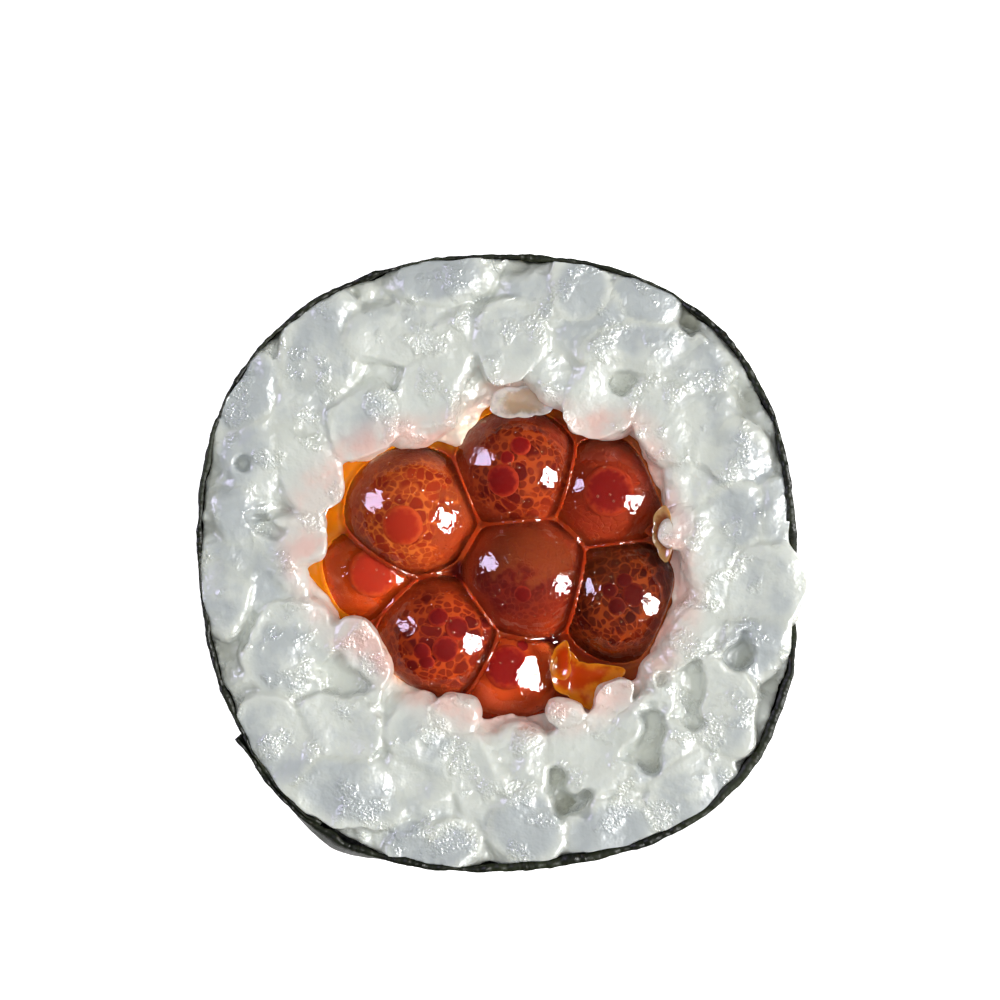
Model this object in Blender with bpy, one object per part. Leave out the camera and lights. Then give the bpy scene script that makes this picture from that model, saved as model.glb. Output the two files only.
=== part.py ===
"""Salmon roe maki: one slice of a rice roll that stands on its lower cut face, with the shown cut face up.

Lengths here are in millimetres, and each mesh is scaled to metres at the end. +Y is up in the photo.
"""

import math
import random

import bmesh
import bpy
from mathutils import Euler, Matrix, Vector

MILLIMETRE = 0.001

# The roll: a softly squared circle, slightly barrel-shaped, cut to an eighth of a half sheet's 190 mm width
ROLL_RADIUS = 15.83
ROLL_HEIGHT = 24.0
OVAL = (0.23, 2, math.radians(-78))
CORNERS = (0.49, 4, math.radians(-41))
LEAN = (0.07, 5, math.radians(31))
BARREL = 0.35

# The seaweed sheet: its outer end is the seam at lower left, and its inner end is tucked under that
SHEET = 0.35
SHEET_SLACK = 0.15
SEAM = math.radians(213.6)
TUCK = math.radians(22)
TUCK_RAMP = math.radians(11)
LIP = 0.22
LIP_ARC = math.radians(2.6)
SHEET_TOP = 23.45
SHEET_FOOT = 0.3
SHEET_WAVE = 0.09
SHEET_DIP = 2.5
DIP_AT = math.radians(-5.5)
DIP_ARC = math.radians(16)
SHEET_COLUMNS = 112
SHEET_ROWS = 4

# The rice: a core ring round the roe, with the grains that show fused on both cut faces
GAP = 0.3
SKIN_GAP = 0.14
CORE_STEP = 0.08
CORE_TOP = 22.1
CORE_FOOT = 1.3
CORE_COLUMNS = 60
CORE_ROWS = 3
GRAIN_LENGTH = (4.5, 6.4)
GRAIN_WIDTH = (3.2, 4.1)
GRAIN_DEPTH = (2.8, 3.2)
GRAIN_PLUMP = 2.6
LANDMARK_PITCH = 6
LANDMARK_ROLL = 8
UPPER_LIFT = (0.0, 0.6)
FOOT_LIFT = (0.0, 0.35)
UPPER_TILT = 10
FOOT_TILT = 4
FOOT_CUT = 0.5
SHORTEST_EDGE = 0.004
CLEARING_STEP = 0.15
CLEARING_STEPS = 16
TOP_GRAINS = 27
FOOT_GRAINS = 46
TRIES = 90
SEED = 11

# Grains that stand out in the photo: x, y, length, width, turn in degrees, lift of the top
LANDMARKS = (
    (13.15, -1.3, 4.4, 4.0, 80, 0.0),
    (14.1, 2.7, 4.2, 3.0, 80, -0.4),
    (10.2, 7.2, 4.5, 3.9, 100, -0.3),
    (7.4, 13.1, 4.3, 3.3, -20, -0.5),
    (7.0, 10.7, 6.8, 3.3, 0, -0.2),
    (4.0, 13.8, 4.2, 3.0, 88, 0.0),
    (4.6, 7.3, 4.8, 3.8, 65, 0.0),
    (0.5, 11.2, 4.0, 3.6, 30, -0.1),
    (-3.0, 14.3, 5.4, 3.2, 6, -0.5),
    (-9.0, 10.6, 6.6, 4.1, 75, -0.4),
    (-12.7, 8.4, 5.2, 3.2, 62, -0.3),
    (-6.6, 6.9, 4.0, 3.2, 35, -0.1),
    (-10.7, 1.2, 3.5, 3.0, 10, -0.1),
    (-13.9, -1.5, 4.2, 3.2, 88, -0.3),
    (-10.6, -4.2, 5.6, 4.4, 68, -0.2),
    (-11.2, -9.0, 5.4, 4.1, 125, 0.0),
    (-6.8, -5.4, 4.2, 3.0, 120, -0.6),
    (-7.5, -11.3, 6.6, 4.0, -10, -0.2),
    (-3.5, -14.2, 5.6, 3.2, -6, -0.6),
    (1.4, -13.1, 4.6, 4.0, 130, -0.1),
    (5.5, -13.4, 5.3, 3.4, 14, -0.2),
    (4.5, -9.9, 5.0, 3.8, 5, 0.0),
    (9.6, -11.5, 5.2, 3.9, 35, 0.0),
    (11.1, -7.2, 5.4, 3.7, 103, 0.0),
)

# The hole that the roe fills: radii from its centre, anticlockwise from +X at equal turns
HOLE_CENTRE = (0.3, 0.4)
HOLE_RADII = (9.1, 8.7, 8.9, 8.0, 8.3, 7.5, 8.4, 9.4, 9.8, 9.2, 8.7, 8.5, 8.6, 9.1, 9.1, 9.0)

# Eggs that show in the upper face: x, y, z and the half-sizes along X, Y and Z
EGGS = {
    "egg_upper_left": (-4.45, 2.60, 20.9, 3.45, 3.40, 3.05),
    "egg_upper_middle": (0.90, 4.70, 20.9, 3.25, 3.20, 3.00),
    "egg_upper_right": (5.40, 3.40, 20.4, 3.05, 3.20, 2.95),
    "egg_left": (-6.55, -0.50, 19.9, 2.90, 2.75, 2.70),
    "egg_centre": (1.40, -0.70, 21.1, 3.40, 3.35, 3.00),
    "egg_right": (6.05, -1.80, 20.7, 3.15, 3.35, 2.95),
    "egg_lower_left": (-3.00, -3.80, 20.8, 3.30, 3.25, 3.00),
    "egg_lower_middle": (0.50, -5.50, 20.0, 3.00, 2.80, 2.80),
}
EGG_GAP = 0.16
EGG_SHARPNESS = 20

# The filling below them: it follows the eggs from under, with the lower face's eggs fused on its foot
FILLING_LEVEL = 20.7
FILLING_BANK = 0.5
FILLING_BANK_OFFSET = 0.35
FILLING_CLEARANCE = 0.1
FILLING_FOOT = 2.9
FILLING_RINGS = 8
FILLING_COLUMNS = 36
FOOT_EGG_RADIUS = 3.2
FOOT_EGG_RING = 5.6
FOOT_EGG_COUNT = 6
FOOT_EGG_DEPTH = 0.5

# The torn skin of a burst egg, beside the lower middle egg
SKIN_CENTRE = (4.35, -5.7, 22.1)
SKIN_RADIUS = 1.25
SKIN_THICKNESS = 0.32
SKIN_FOLDS = 3
SKIN_FOLD_HEIGHT = 0.38
SKIN_COLUMNS = 16


def smoothstep(value):
    """0 below 0, 1 above 1 and a soft rise between."""
    share = min(max(value, 0.0), 1.0)
    return share * share * (3 - 2 * share)


def turned_from(angle, start):
    """How far anticlockwise the angle lies from the start, from 0 to a full turn."""
    return (angle - start) % math.tau


def roll_radius(angle):
    """Radius of the roll's outside at its widest."""
    waves = sum(size * math.cos(count * (angle - peak)) for size, count, peak in (OVAL, CORNERS, LEAN))
    return ROLL_RADIUS + waves


def barrel_inset(height):
    """How far the outside draws in towards the cut faces."""
    return BARREL * (2 * height / ROLL_HEIGHT - 1) ** 2


def tuck_inset(angle):
    """How far the rice draws in where the sheet lies double."""
    before = smoothstep(turned_from(angle, SEAM - TUCK_RAMP) / TUCK_RAMP)
    after = smoothstep(turned_from(angle, SEAM + TUCK) / TUCK_RAMP)
    inside = turned_from(angle, SEAM - TUCK_RAMP) < 2 * TUCK_RAMP + TUCK
    past_end = turned_from(angle, SEAM + TUCK) < TUCK_RAMP
    return (SHEET + SHEET_SLACK) * (before - (after if past_end else 0)) * inside


def rice_radius(angle, height):
    """Radius of the rice's outside, just inside the sheet."""
    return roll_radius(angle) - barrel_inset(height) - SHEET - SKIN_GAP - tuck_inset(angle)


def hole_radius(angle):
    """Radius of the roe's hole about its own centre: a smooth closed curve through HOLE_RADII."""
    count = len(HOLE_RADII)
    place = turned_from(angle, 0) / math.tau * count
    first = int(place)
    share = place - first
    a, b, c, d = (HOLE_RADII[(first + step) % count] for step in (-1, 0, 1, 2))
    bend = (c - a) + share * ((2 * a - 5 * b + 4 * c - d) + share * (3 * b - 3 * c + d - a))
    return b + 0.5 * share * bend


def hole_reach(x, y):
    """Distance of a point from the hole's centre, and the hole's radius in that direction."""
    dx, dy = x - HOLE_CENTRE[0], y - HOLE_CENTRE[1]
    return math.hypot(dx, dy), hole_radius(math.atan2(dy, dx))


def hole_edge(angle):
    """Where a ray at this angle from the roll's centre crosses the hole's outline."""
    low, high = 0.0, ROLL_RADIUS
    for _ in range(30):
        middle = (low + high) / 2
        distance, edge = hole_reach(middle * math.cos(angle), middle * math.sin(angle))
        low, high = (middle, high) if distance < edge else (low, middle)
    return low


def tint(red, green, blue):
    """Linear RGBA of an sRGB colour given from 0 to 255."""
    return tuple(((value / 255 + 0.055) / 1.055) ** 2.4 for value in (red, green, blue)) + (1.0,)


def plain_material(name, colour, roughness, transmission=0.0):
    """A Principled material with the colour and roughness that the photo shows."""
    material = bpy.data.materials.new(name)
    material.use_nodes = True
    shader = material.node_tree.nodes["Principled BSDF"]
    shader.inputs["Base Color"].default_value = tint(*colour)
    shader.inputs["Roughness"].default_value = roughness
    shader.inputs["Metallic"].default_value = 0.0
    shader.inputs["Transmission Weight"].default_value = transmission
    material.diffuse_color = tint(*colour)
    return material


def mesh_object(name, points, faces, material=None):
    """A mesh object from points in millimetres, with its faces turned outwards."""
    mesh = bpy.data.meshes.new(name)
    mesh.from_pydata([tuple(point) for point in points], [], faces)
    shape = bmesh.new()
    shape.from_mesh(mesh)
    bmesh.ops.recalc_face_normals(shape, faces=shape.faces)
    shape.to_mesh(mesh)
    shape.free()
    if material:
        mesh.materials.append(material)
    body = bpy.data.objects.new(name, mesh)
    bpy.context.scene.collection.objects.link(body)
    return body


def lofted(name, rings, material=None, closed=False):
    """A body skinned over rings of points: its ends are capped, or joined to each other if closed."""
    count = len(rings[0])
    points = [point for ring in rings for point in ring]
    faces = []
    for start in range(len(rings) if closed else len(rings) - 1):
        a, b = start * count, (start + 1) % len(rings) * count
        for i in range(count):
            j = (i + 1) % count
            faces.append((a + i, a + j, b + j, b + i))
    if not closed:
        faces.append(tuple(range(count)))
        faces.append(tuple(range((len(rings) - 1) * count, len(rings) * count)))
    return mesh_object(name, points, faces, material)


def sheet_wave(turned):
    """The uneven line of the sheet's cut edges."""
    waves = math.sin(7 * turned) + 0.6 * math.sin(17 * turned + 1) + 0.4 * math.sin(31 * turned)
    return SHEET_WAVE * waves


def sheet_top(turned):
    """Height of the sheet's upper edge: it dips under the grain that stands out at the right."""
    away = abs(math.remainder(SEAM + turned - DIP_AT, math.tau)) / DIP_ARC
    return SHEET_TOP + sheet_wave(turned) - SHEET_DIP * (1 - smoothstep(away))


def sheet_outside(turned, height):
    """Radius of the sheet's outer face, this far round from its outer end."""
    lip = LIP * (1 - smoothstep(turned / LIP_ARC))
    tucked = (SHEET + SHEET_SLACK) * smoothstep((turned - math.tau + TUCK_RAMP) / TUCK_RAMP)
    return roll_radius(SEAM + turned) - barrel_inset(height) + lip - tucked


def add_nori():
    """The sheet as a bent plate, once round the rice and on under its own outer end."""
    rings = []
    for column in range(SHEET_COLUMNS + 1):
        turned = (math.tau + TUCK) * column / SHEET_COLUMNS
        direction = Vector((math.cos(SEAM + turned), math.sin(SEAM + turned), 0))
        foot, top = SHEET_FOOT + abs(sheet_wave(turned + 1)), sheet_top(turned)
        heights = [foot + (top - foot) * row / SHEET_ROWS for row in range(SHEET_ROWS + 1)]
        radii = [sheet_outside(turned, height) for height in heights]
        outer = [direction * radius + Vector((0, 0, z)) for radius, z in zip(radii, heights)]
        inner = [direction * (radius - SHEET) + Vector((0, 0, z)) for radius, z in zip(radii, heights)]
        rings.append(outer + inner[::-1])
    return lofted("nori", rings, plain_material("seaweed", (38, 42, 30), 0.42))


def wall_reach(centre, direction, reach):
    """How far along a direction the roe's hole lets an egg reach, if that is nearer than its own reach."""
    low, high = 0.0, reach * 1.2
    for _ in range(14):
        middle = (low + high) / 2
        place = centre + direction * middle
        distance, edge = hole_reach(place.x, place.y)
        low, high = (middle, high) if distance < edge - 1.5 * GAP else (low, middle)
    return high


def egg_reach(name, direction):
    """Distance from an egg's centre to its surface, which neighbours and the rice press flat."""
    x, y, z, *sizes = EGGS[name]
    reach = 1 / math.sqrt(sum((part / size) ** 2 for part, size in zip(direction, sizes)))
    centre = Vector((x, y, z))
    limits = [reach, wall_reach(centre, direction, reach)]
    for other, (ox, oy, oz, *other_sizes) in EGGS.items():
        if other == name:
            continue
        between = Vector((ox, oy, oz)) - centre
        distance = between.length
        own, theirs = sum(sizes) / 3, sum(other_sizes) / 3
        plane = (distance**2 + own**2 - theirs**2) / (2 * distance) - EGG_GAP / 2
        facing = direction.dot(between / distance)
        if facing > 0.05 and distance < own + theirs + EGG_GAP:
            limits.append(plane / facing)
    return sum(limit**-EGG_SHARPNESS for limit in limits) ** (-1 / EGG_SHARPNESS)


def add_egg(name, material):
    """One egg of the upper face, with its flats where it meets its neighbours."""
    shape = bmesh.new()
    bmesh.ops.create_icosphere(shape, subdivisions=3, radius=1.0)
    centre = Vector(EGGS[name][:3])
    for vertex in shape.verts:
        direction = vertex.co.normalized()
        vertex.co = centre + direction * egg_reach(name, direction)
    mesh = bpy.data.meshes.new(name)
    shape.to_mesh(mesh)
    shape.free()
    mesh.materials.append(material)
    body = bpy.data.objects.new(name, mesh)
    bpy.context.scene.collection.objects.link(body)
    return body


def foot_eggs():
    """Centre and radius of the lower cut face's eggs: one in the middle and a ring round it."""
    draw = random.Random(SEED + 5)
    middle = Vector((HOLE_CENTRE[0], HOLE_CENTRE[1], 0))
    eggs = [(middle + Vector((0.4, -0.3, FOOT_EGG_DEPTH + FOOT_EGG_RADIUS)), FOOT_EGG_RADIUS)]
    for index in range(FOOT_EGG_COUNT):
        angle = math.tau * (index + draw.uniform(-0.1, 0.1)) / FOOT_EGG_COUNT
        radius = FOOT_EGG_RADIUS + draw.uniform(-0.3, 0.0)
        ring = min(FOOT_EGG_RING + draw.uniform(-0.2, 0.3), hole_radius(angle) - radius - GAP)
        height = FOOT_EGG_DEPTH + radius + draw.uniform(0.0, 0.6)
        eggs.append((middle + Vector((ring * math.cos(angle), ring * math.sin(angle), height)), radius))
    return eggs


def filling_top(x, y):
    """Height of the filling's upper face: it passes under every egg, and rises on banks between them."""
    height = FILLING_LEVEL
    for ex, ey, ez, *sizes in EGGS.values():
        reach = max(sizes) + GAP
        distance = math.hypot(x - ex, y - ey)
        if distance < reach:
            height = min(height, ez - math.sqrt(reach**2 - distance**2) - FILLING_CLEARANCE)
        else:
            height = min(height, ez + (distance - reach - FILLING_BANK_OFFSET) * FILLING_BANK)
    return height


def filling_ring(share, upper):
    """One ring of the filling's surface, this share of the way from its middle to the rice."""
    points = []
    for column in range(FILLING_COLUMNS):
        angle = math.tau * column / FILLING_COLUMNS
        radius = share * (hole_radius(angle) - GAP)
        x, y = HOLE_CENTRE[0] + radius * math.cos(angle), HOLE_CENTRE[1] + radius * math.sin(angle)
        points.append(Vector((x, y, filling_top(x, y) if upper else FILLING_FOOT)))
    return points


def add_filling():
    """The roe filling, which runs through the rice, with the lower face's eggs fused on."""
    shares = [(step + 0.35) / (FILLING_RINGS - 0.65) for step in range(FILLING_RINGS)]
    rings = [filling_ring(1.0, False)] + [filling_ring(share, True) for share in reversed(shares)]
    body = lofted("roe_filling", rings)
    eggs = []
    for centre, radius in foot_eggs():
        shape = bmesh.new()
        place = Matrix.Translation(centre)
        bmesh.ops.create_icosphere(shape, subdivisions=2, radius=radius, matrix=place)
        eggs.append(([vertex.co.copy() for vertex in shape.verts], corners_of(shape)))
        shape.free()
    boolean(body, "UNION", eggs)
    body.data.materials.append(plain_material("roe_juice", (176, 62, 24), 0.12, 0.2))
    return body


def keep_outer_shell(body):
    """Fills hollows that the union sealed and drops loose scraps: only the largest shell stays."""
    shape = bmesh.new()
    shape.from_mesh(body.data)
    shells = []
    left = set(shape.verts)
    while left:
        reached, edge = set(), {next(iter(left))}
        while edge:
            reached |= edge
            edge = {link.other_vert(vertex) for vertex in edge for link in vertex.link_edges} - reached
        shells.append(reached)
        left -= reached
    largest = max(shells, key=len)
    scraps = [vertex for vertex in shape.verts if vertex not in largest]
    bmesh.ops.delete(shape, geom=scraps, context="VERTS")
    bmesh.ops.triangulate(shape, faces=shape.faces)
    bmesh.ops.dissolve_degenerate(shape, dist=SHORTEST_EDGE, edges=shape.edges)
    bmesh.ops.triangulate(shape, faces=shape.faces)
    shape.to_mesh(body.data)
    shape.free()


def boolean(body, operation, pieces):
    """Applies one Boolean of a body with a collection of pieces, given as points and faces."""
    heap = bpy.data.collections.new("pieces")
    bpy.context.scene.collection.children.link(heap)
    for points, faces in pieces:
        piece = mesh_object("piece", points, faces)
        bpy.context.scene.collection.objects.unlink(piece)
        heap.objects.link(piece)
    modifier = body.modifiers.new("pieces", "BOOLEAN")
    modifier.operation = operation
    modifier.operand_type = "COLLECTION"
    modifier.collection = heap
    modifier.solver = "EXACT"
    body.data = bpy.data.meshes.new_from_object(body.evaluated_get(bpy.context.evaluated_depsgraph_get()))
    body.modifiers.remove(modifier)
    for piece in list(heap.objects):
        bpy.data.objects.remove(piece)
    bpy.data.collections.remove(heap)
    keep_outer_shell(body)
    body.data.name = body.name


def cut_foot(body):
    """Cuts the body off flat at the floor, as the knife does."""
    slab = bmesh.new()
    size = Matrix.Diagonal((3 * ROLL_RADIUS, 3 * ROLL_RADIUS, ROLL_RADIUS, 1))
    bmesh.ops.create_cube(slab, size=1.0, matrix=Matrix.Translation((0, 0, -ROLL_RADIUS / 2)) @ size)
    boolean(body, "DIFFERENCE", [([vertex.co.copy() for vertex in slab.verts], corners_of(slab))])
    slab.free()


def add_burst_skin():
    """The torn and folded skin of a burst egg, as a thin wavy leaf."""
    rings = []
    shares = (0.05, 0.4, 0.75, 1.0)
    for share, side in [(share, 0.5) for share in shares] + [(share, -0.5) for share in reversed(shares)]:
        ring = []
        for column in range(SKIN_COLUMNS):
            angle = math.tau * column / SKIN_COLUMNS
            radius = SKIN_RADIUS * share * (1 + 0.13 * math.sin(3 * angle + 1) + 0.07 * math.sin(5 * angle))
            height = SKIN_FOLD_HEIGHT * share * math.sin(SKIN_FOLDS * angle) + side * SKIN_THICKNESS
            offset = Vector((radius * math.cos(angle), radius * math.sin(angle), height))
            ring.append(Vector(SKIN_CENTRE) + offset)
        rings.append(ring)
    return lofted("burst_skin", rings, plain_material("roe_skin", (226, 106, 38), 0.18, 0.2))


def corners_of(shape):
    """The faces of a bmesh as tuples of vertex numbers."""
    shape.verts.index_update()
    return [tuple(vertex.index for vertex in face.verts) for face in shape.faces]


def grain_points(grain):
    """The points and faces of one grain: a plump six-sided ellipsoid that lies along its turn."""
    shape = bmesh.new()
    bmesh.ops.create_uvsphere(shape, u_segments=6, v_segments=4, radius=1.0)
    spin = Euler((grain["roll"], grain["pitch"], grain["turn"])).to_matrix()
    sizes = Vector((grain["length"] / 2, grain["width"] / 2, grain["depth"] / 2))
    points = []
    for vertex in shape.verts:
        unit = Vector((vertex.co.z, vertex.co.x, vertex.co.y))
        plump = sum(abs(part) ** GRAIN_PLUMP for part in unit) ** (1 / GRAIN_PLUMP)
        points.append(grain["centre"] + spin @ (unit / plump * sizes))
    faces = corners_of(shape)
    shape.free()
    return points, faces


def kept_in_roll(point):
    """The point, brought inside the sheet."""
    limit = rice_radius(math.atan2(point.y, point.x), point.z) / math.hypot(point.x, point.y)
    return Vector((point.x * limit, point.y * limit, point.z)) if limit < 1 else point


def meets_roe(point):
    """Whether a point of a grain lies in or close to the roe."""
    if (point - Vector(SKIN_CENTRE)).length < SKIN_RADIUS + 2.5 * GAP:
        return True
    distance, edge = hole_reach(point.x, point.y)
    if distance > edge + 0.1:
        return False
    if point.z < FILLING_LEVEL + GAP:
        return True
    for name, (x, y, z, *sizes) in EGGS.items():
        offset = point - Vector((x, y, z))
        if offset.length < max(sizes) + GAP and offset.length < egg_reach(name, offset.normalized()) + GAP:
            return True
    return False


def clear_of_roe(grain):
    """Whether the grain's points, edges and faces all stay clear of the roe."""
    points, faces = grain_points(grain)
    middles = [sum((points[i] for i in face), Vector()) / len(face) for face in faces]
    edges = [(points[face[i - 1]] + points[face[i]]) / 2 for face in faces for i in range(len(face))]
    return not any(meets_roe(point) for point in points + middles + edges)


def moved_clear(grain):
    """The grain, moved outwards until it is clear of the roe, or None if it would go too far."""
    outward = grain["centre"] - Vector((*HOLE_CENTRE, grain["centre"].z))
    for _ in range(CLEARING_STEPS):
        if clear_of_roe(grain):
            return grain
        grain["centre"] = grain["centre"] + outward.normalized() * CLEARING_STEP
    return None


def landmark_grains():
    """The grains that stand out in the photo, in their places."""
    draw = random.Random(SEED)
    grains = []
    for x, y, length, width, turn, lift in LANDMARKS:
        depth = draw.uniform(*GRAIN_DEPTH)
        grains.append({
            "centre": Vector((x, y, ROLL_HEIGHT - depth / 2 + lift)),
            "length": length,
            "width": width,
            "depth": depth,
            "turn": math.radians(turn),
            "pitch": math.radians(draw.uniform(-LANDMARK_PITCH, LANDMARK_PITCH)),
            "roll": math.radians(draw.uniform(-LANDMARK_ROLL, LANDMARK_ROLL)),
        })
    return grains


def crowding(x, y, length, width, grains):
    """How near the nearest grain is, in shares of the two grains' mean radii."""
    shares = []
    for grain in grains:
        distance = math.hypot(x - grain["centre"].x, y - grain["centre"].y)
        shares.append(4 * distance / (length + width + grain["length"] + grain["width"]))
    return min(shares, default=9.0)


def spread_grains(grains, count, upper, seed):
    """Adds grains where there is most room between the hole and the sheet, the largest first."""
    draw = random.Random(seed)
    tilt = UPPER_TILT if upper else FOOT_TILT
    for index in range(count):
        share = 1 - index / count
        length = GRAIN_LENGTH[0] + share * (GRAIN_LENGTH[1] - GRAIN_LENGTH[0]) + draw.uniform(-0.4, 0.4)
        width = draw.uniform(*GRAIN_WIDTH)
        depth = draw.uniform(*GRAIN_DEPTH)
        best, best_room = None, -1.0
        for _ in range(TRIES):
            angle = draw.uniform(0, math.tau)
            inner, outer = hole_edge(angle) + 0.7, rice_radius(angle, ROLL_HEIGHT) - width * 0.3
            radius = math.sqrt(inner**2 + draw.random() * (outer**2 - inner**2))
            x, y = radius * math.cos(angle), radius * math.sin(angle)
            room = crowding(x, y, length, width, grains)
            if room > best_room:
                best, best_room = (x, y, angle, (radius - inner) / (outer - inner)), room
        x, y, angle, outwards = best
        along = angle + math.pi / 2 + draw.gauss(0, 0.35 + 0.9 * (1 - outwards))
        lift = draw.uniform(*(UPPER_LIFT if upper else FOOT_LIFT))
        height = ROLL_HEIGHT - depth / 2 - lift if upper else depth / 2 - FOOT_CUT + lift
        grains.append({
            "centre": Vector((x, y, height)),
            "length": length,
            "width": width,
            "depth": depth,
            "turn": along,
            "pitch": math.radians(draw.uniform(-tilt, tilt)),
            "roll": math.radians(draw.uniform(-tilt, tilt)),
        })
    return grains


def rice_core():
    """The ring of rice behind the grains: its outside follows the sheet, its inside the roe."""
    rings = []
    for column in range(CORE_COLUMNS):
        angle = math.tau * column / CORE_COLUMNS
        direction = Vector((math.cos(angle), math.sin(angle), 0))
        inner = hole_edge(angle)
        heights = [CORE_FOOT + (CORE_TOP - CORE_FOOT) * row / CORE_ROWS for row in range(CORE_ROWS + 1)]
        outside = [direction * (rice_radius(angle, z) - CORE_STEP) + Vector((0, 0, z)) for z in heights]
        inside = [direction * inner + Vector((0, 0, z)) for z in (CORE_TOP, CORE_FOOT)]
        rings.append(outside + inside)
    return lofted("rice", rings, closed=True)


def add_rice():
    """The rice: its core and the grains of both cut faces, joined by one union."""
    upper = list(filter(None, map(moved_clear, landmark_grains())))
    standing_out = upper[0]
    spread_grains(upper, TOP_GRAINS, True, SEED + 1)
    lower = spread_grains([], FOOT_GRAINS, False, SEED + 2)
    body = rice_core()
    pieces = []
    for grain in filter(None, map(moved_clear, upper + lower)):
        points, faces = grain_points(grain)
        if grain is not standing_out:
            points = [kept_in_roll(point) for point in points]
        pieces.append((points, faces))
    boolean(body, "UNION", pieces)
    cut_foot(body)
    body.data.materials.append(plain_material("rice", (199, 202, 199), 0.3, 0.1))
    return body


def finish_objects(bodies):
    """Scales each mesh to metres and centres the whole over the origin."""
    corners = [vertex.co for body in bodies for vertex in body.data.vertices]
    middle = Vector([(min(axis) + max(axis)) / 2 for axis in zip(*corners)])
    floor = min(corner.z for corner in corners)
    for body in bodies:
        body.data.transform(Matrix.Translation((-middle.x, -middle.y, -floor)))
        body.data.transform(Matrix.Scale(MILLIMETRE, 4))
        places = [vertex.co for vertex in body.data.vertices]
        own = sum(places, Vector()) / len(places)
        body.data.transform(Matrix.Translation(-own))
        body.location = own


def build_maki():
    """Clears the scene and builds the maki."""
    for old in list(bpy.data.objects):
        bpy.data.objects.remove(old)
    egg_material = plain_material("roe_egg", (168, 46, 26), 0.08, 0.35)
    bodies = [add_nori(), add_rice(), add_filling(), add_burst_skin()]
    bodies += [add_egg(name, egg_material) for name in EGGS]
    finish_objects(bodies)


build_maki()
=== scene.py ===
"""The looks of a salmon roe maki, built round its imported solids.

Lengths in the classes are millimetres from the middle of the roll's foot. A finished mesh is moved to the
frame's own place and scaled to metres. +Z runs along the roll and +Y is up in the photo.
"""

import logging
import math
import random
from collections.abc import Callable
from dataclasses import dataclass
from enum import Enum
from typing import ClassVar

import bmesh
import bpy
import numpy as np
from mathutils import Euler, Matrix, Vector, noise
from mathutils.bvhtree import BVHTree

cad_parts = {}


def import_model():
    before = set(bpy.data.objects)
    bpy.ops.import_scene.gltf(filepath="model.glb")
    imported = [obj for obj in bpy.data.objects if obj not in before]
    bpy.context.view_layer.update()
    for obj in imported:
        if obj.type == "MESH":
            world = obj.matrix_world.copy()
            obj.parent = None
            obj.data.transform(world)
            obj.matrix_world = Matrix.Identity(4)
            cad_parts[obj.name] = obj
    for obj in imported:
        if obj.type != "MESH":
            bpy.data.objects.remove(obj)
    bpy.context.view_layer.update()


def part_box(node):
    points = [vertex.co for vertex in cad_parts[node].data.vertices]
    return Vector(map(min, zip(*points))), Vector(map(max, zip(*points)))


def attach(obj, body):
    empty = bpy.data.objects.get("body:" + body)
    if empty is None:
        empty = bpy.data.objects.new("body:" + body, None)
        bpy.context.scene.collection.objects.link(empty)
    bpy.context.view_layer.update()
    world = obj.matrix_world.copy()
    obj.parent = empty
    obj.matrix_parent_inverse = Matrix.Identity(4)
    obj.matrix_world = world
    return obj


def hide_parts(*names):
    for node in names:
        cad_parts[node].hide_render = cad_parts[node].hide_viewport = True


LOG = logging.getLogger("salmon_roe_maki")
MILLIMETRE = 0.001
PER_METRE = 1000.0
ROOT = "root"
WHITE = (1.0, 1.0, 1.0, 1.0)
FAR = 99.0
EDGE_SLOPE = 8.0
Colour = tuple[int, int, int]
Spot = tuple[float, float, float]
Array = np.ndarray
Shell = tuple[Array, list]
Body = bpy.types.Object
Material = bpy.types.Material
Mesh = bpy.types.Mesh
Node = bpy.types.Node
Socket = bpy.types.NodeSocket
Tree = bpy.types.NodeTree


class Face(Enum):
    """The two cut faces of the slice."""

    UPPER = 1
    LOWER = -1


def tint(colour: Colour) -> tuple[float, float, float, float]:
    """Turns an sRGB colour into linear RGBA.

    Args:
        colour: Red, green and blue from 0 to 255.

    Returns:
        The linear colour with full alpha.
    """
    red, green, blue = (((value / 255 + 0.055) / 1.055) ** 2.4 for value in colour)
    return (red, green, blue, 1.0)


def smoothstep(value: Array | float) -> Array:
    """Gives 0 below 0, 1 above 1 and a soft rise between."""
    share = np.clip(value, 0.0, 1.0)
    return share * share * (3 - 2 * share)


def turned_from(angle: Array | float, start: float) -> Array:
    """Gives how far anticlockwise the angle lies from the start, from 0 to a full turn."""
    return np.mod(np.asarray(angle, float) - start, math.tau)


def halved(low: Array, high: Array, rounds: int, holds: Callable) -> tuple[Array, Array]:
    """Closes in on where a test stops holding along rays, by halving.

    Args:
        low: Where it holds on each ray.
        high: Where it doesn't.
        rounds: How often the span is halved.
        holds: The test, which takes one distance for each ray.

    Returns:
        The last distances at which it holds and the first at which it doesn't.
    """
    for _ in range(rounds):
        middle = (low + high) / 2
        held = holds(middle)
        low, high = np.where(held, middle, low), np.where(held, high, middle)
    return low, high


def noise_at(*axes: object) -> Array:
    """Gives the noise at each place, with X, Y and Z as arrays or single values."""
    return np.array([noise.noise(Vector(place)) for place in np.stack(np.broadcast_arrays(*axes), axis=-1)])


def polar(places: Array) -> tuple[Array, Array]:
    """Gives the angle and radius of each place about the roll's axis."""
    return np.arctan2(places[:, 1], places[:, 0]), np.hypot(places[:, 0], places[:, 1])


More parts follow.
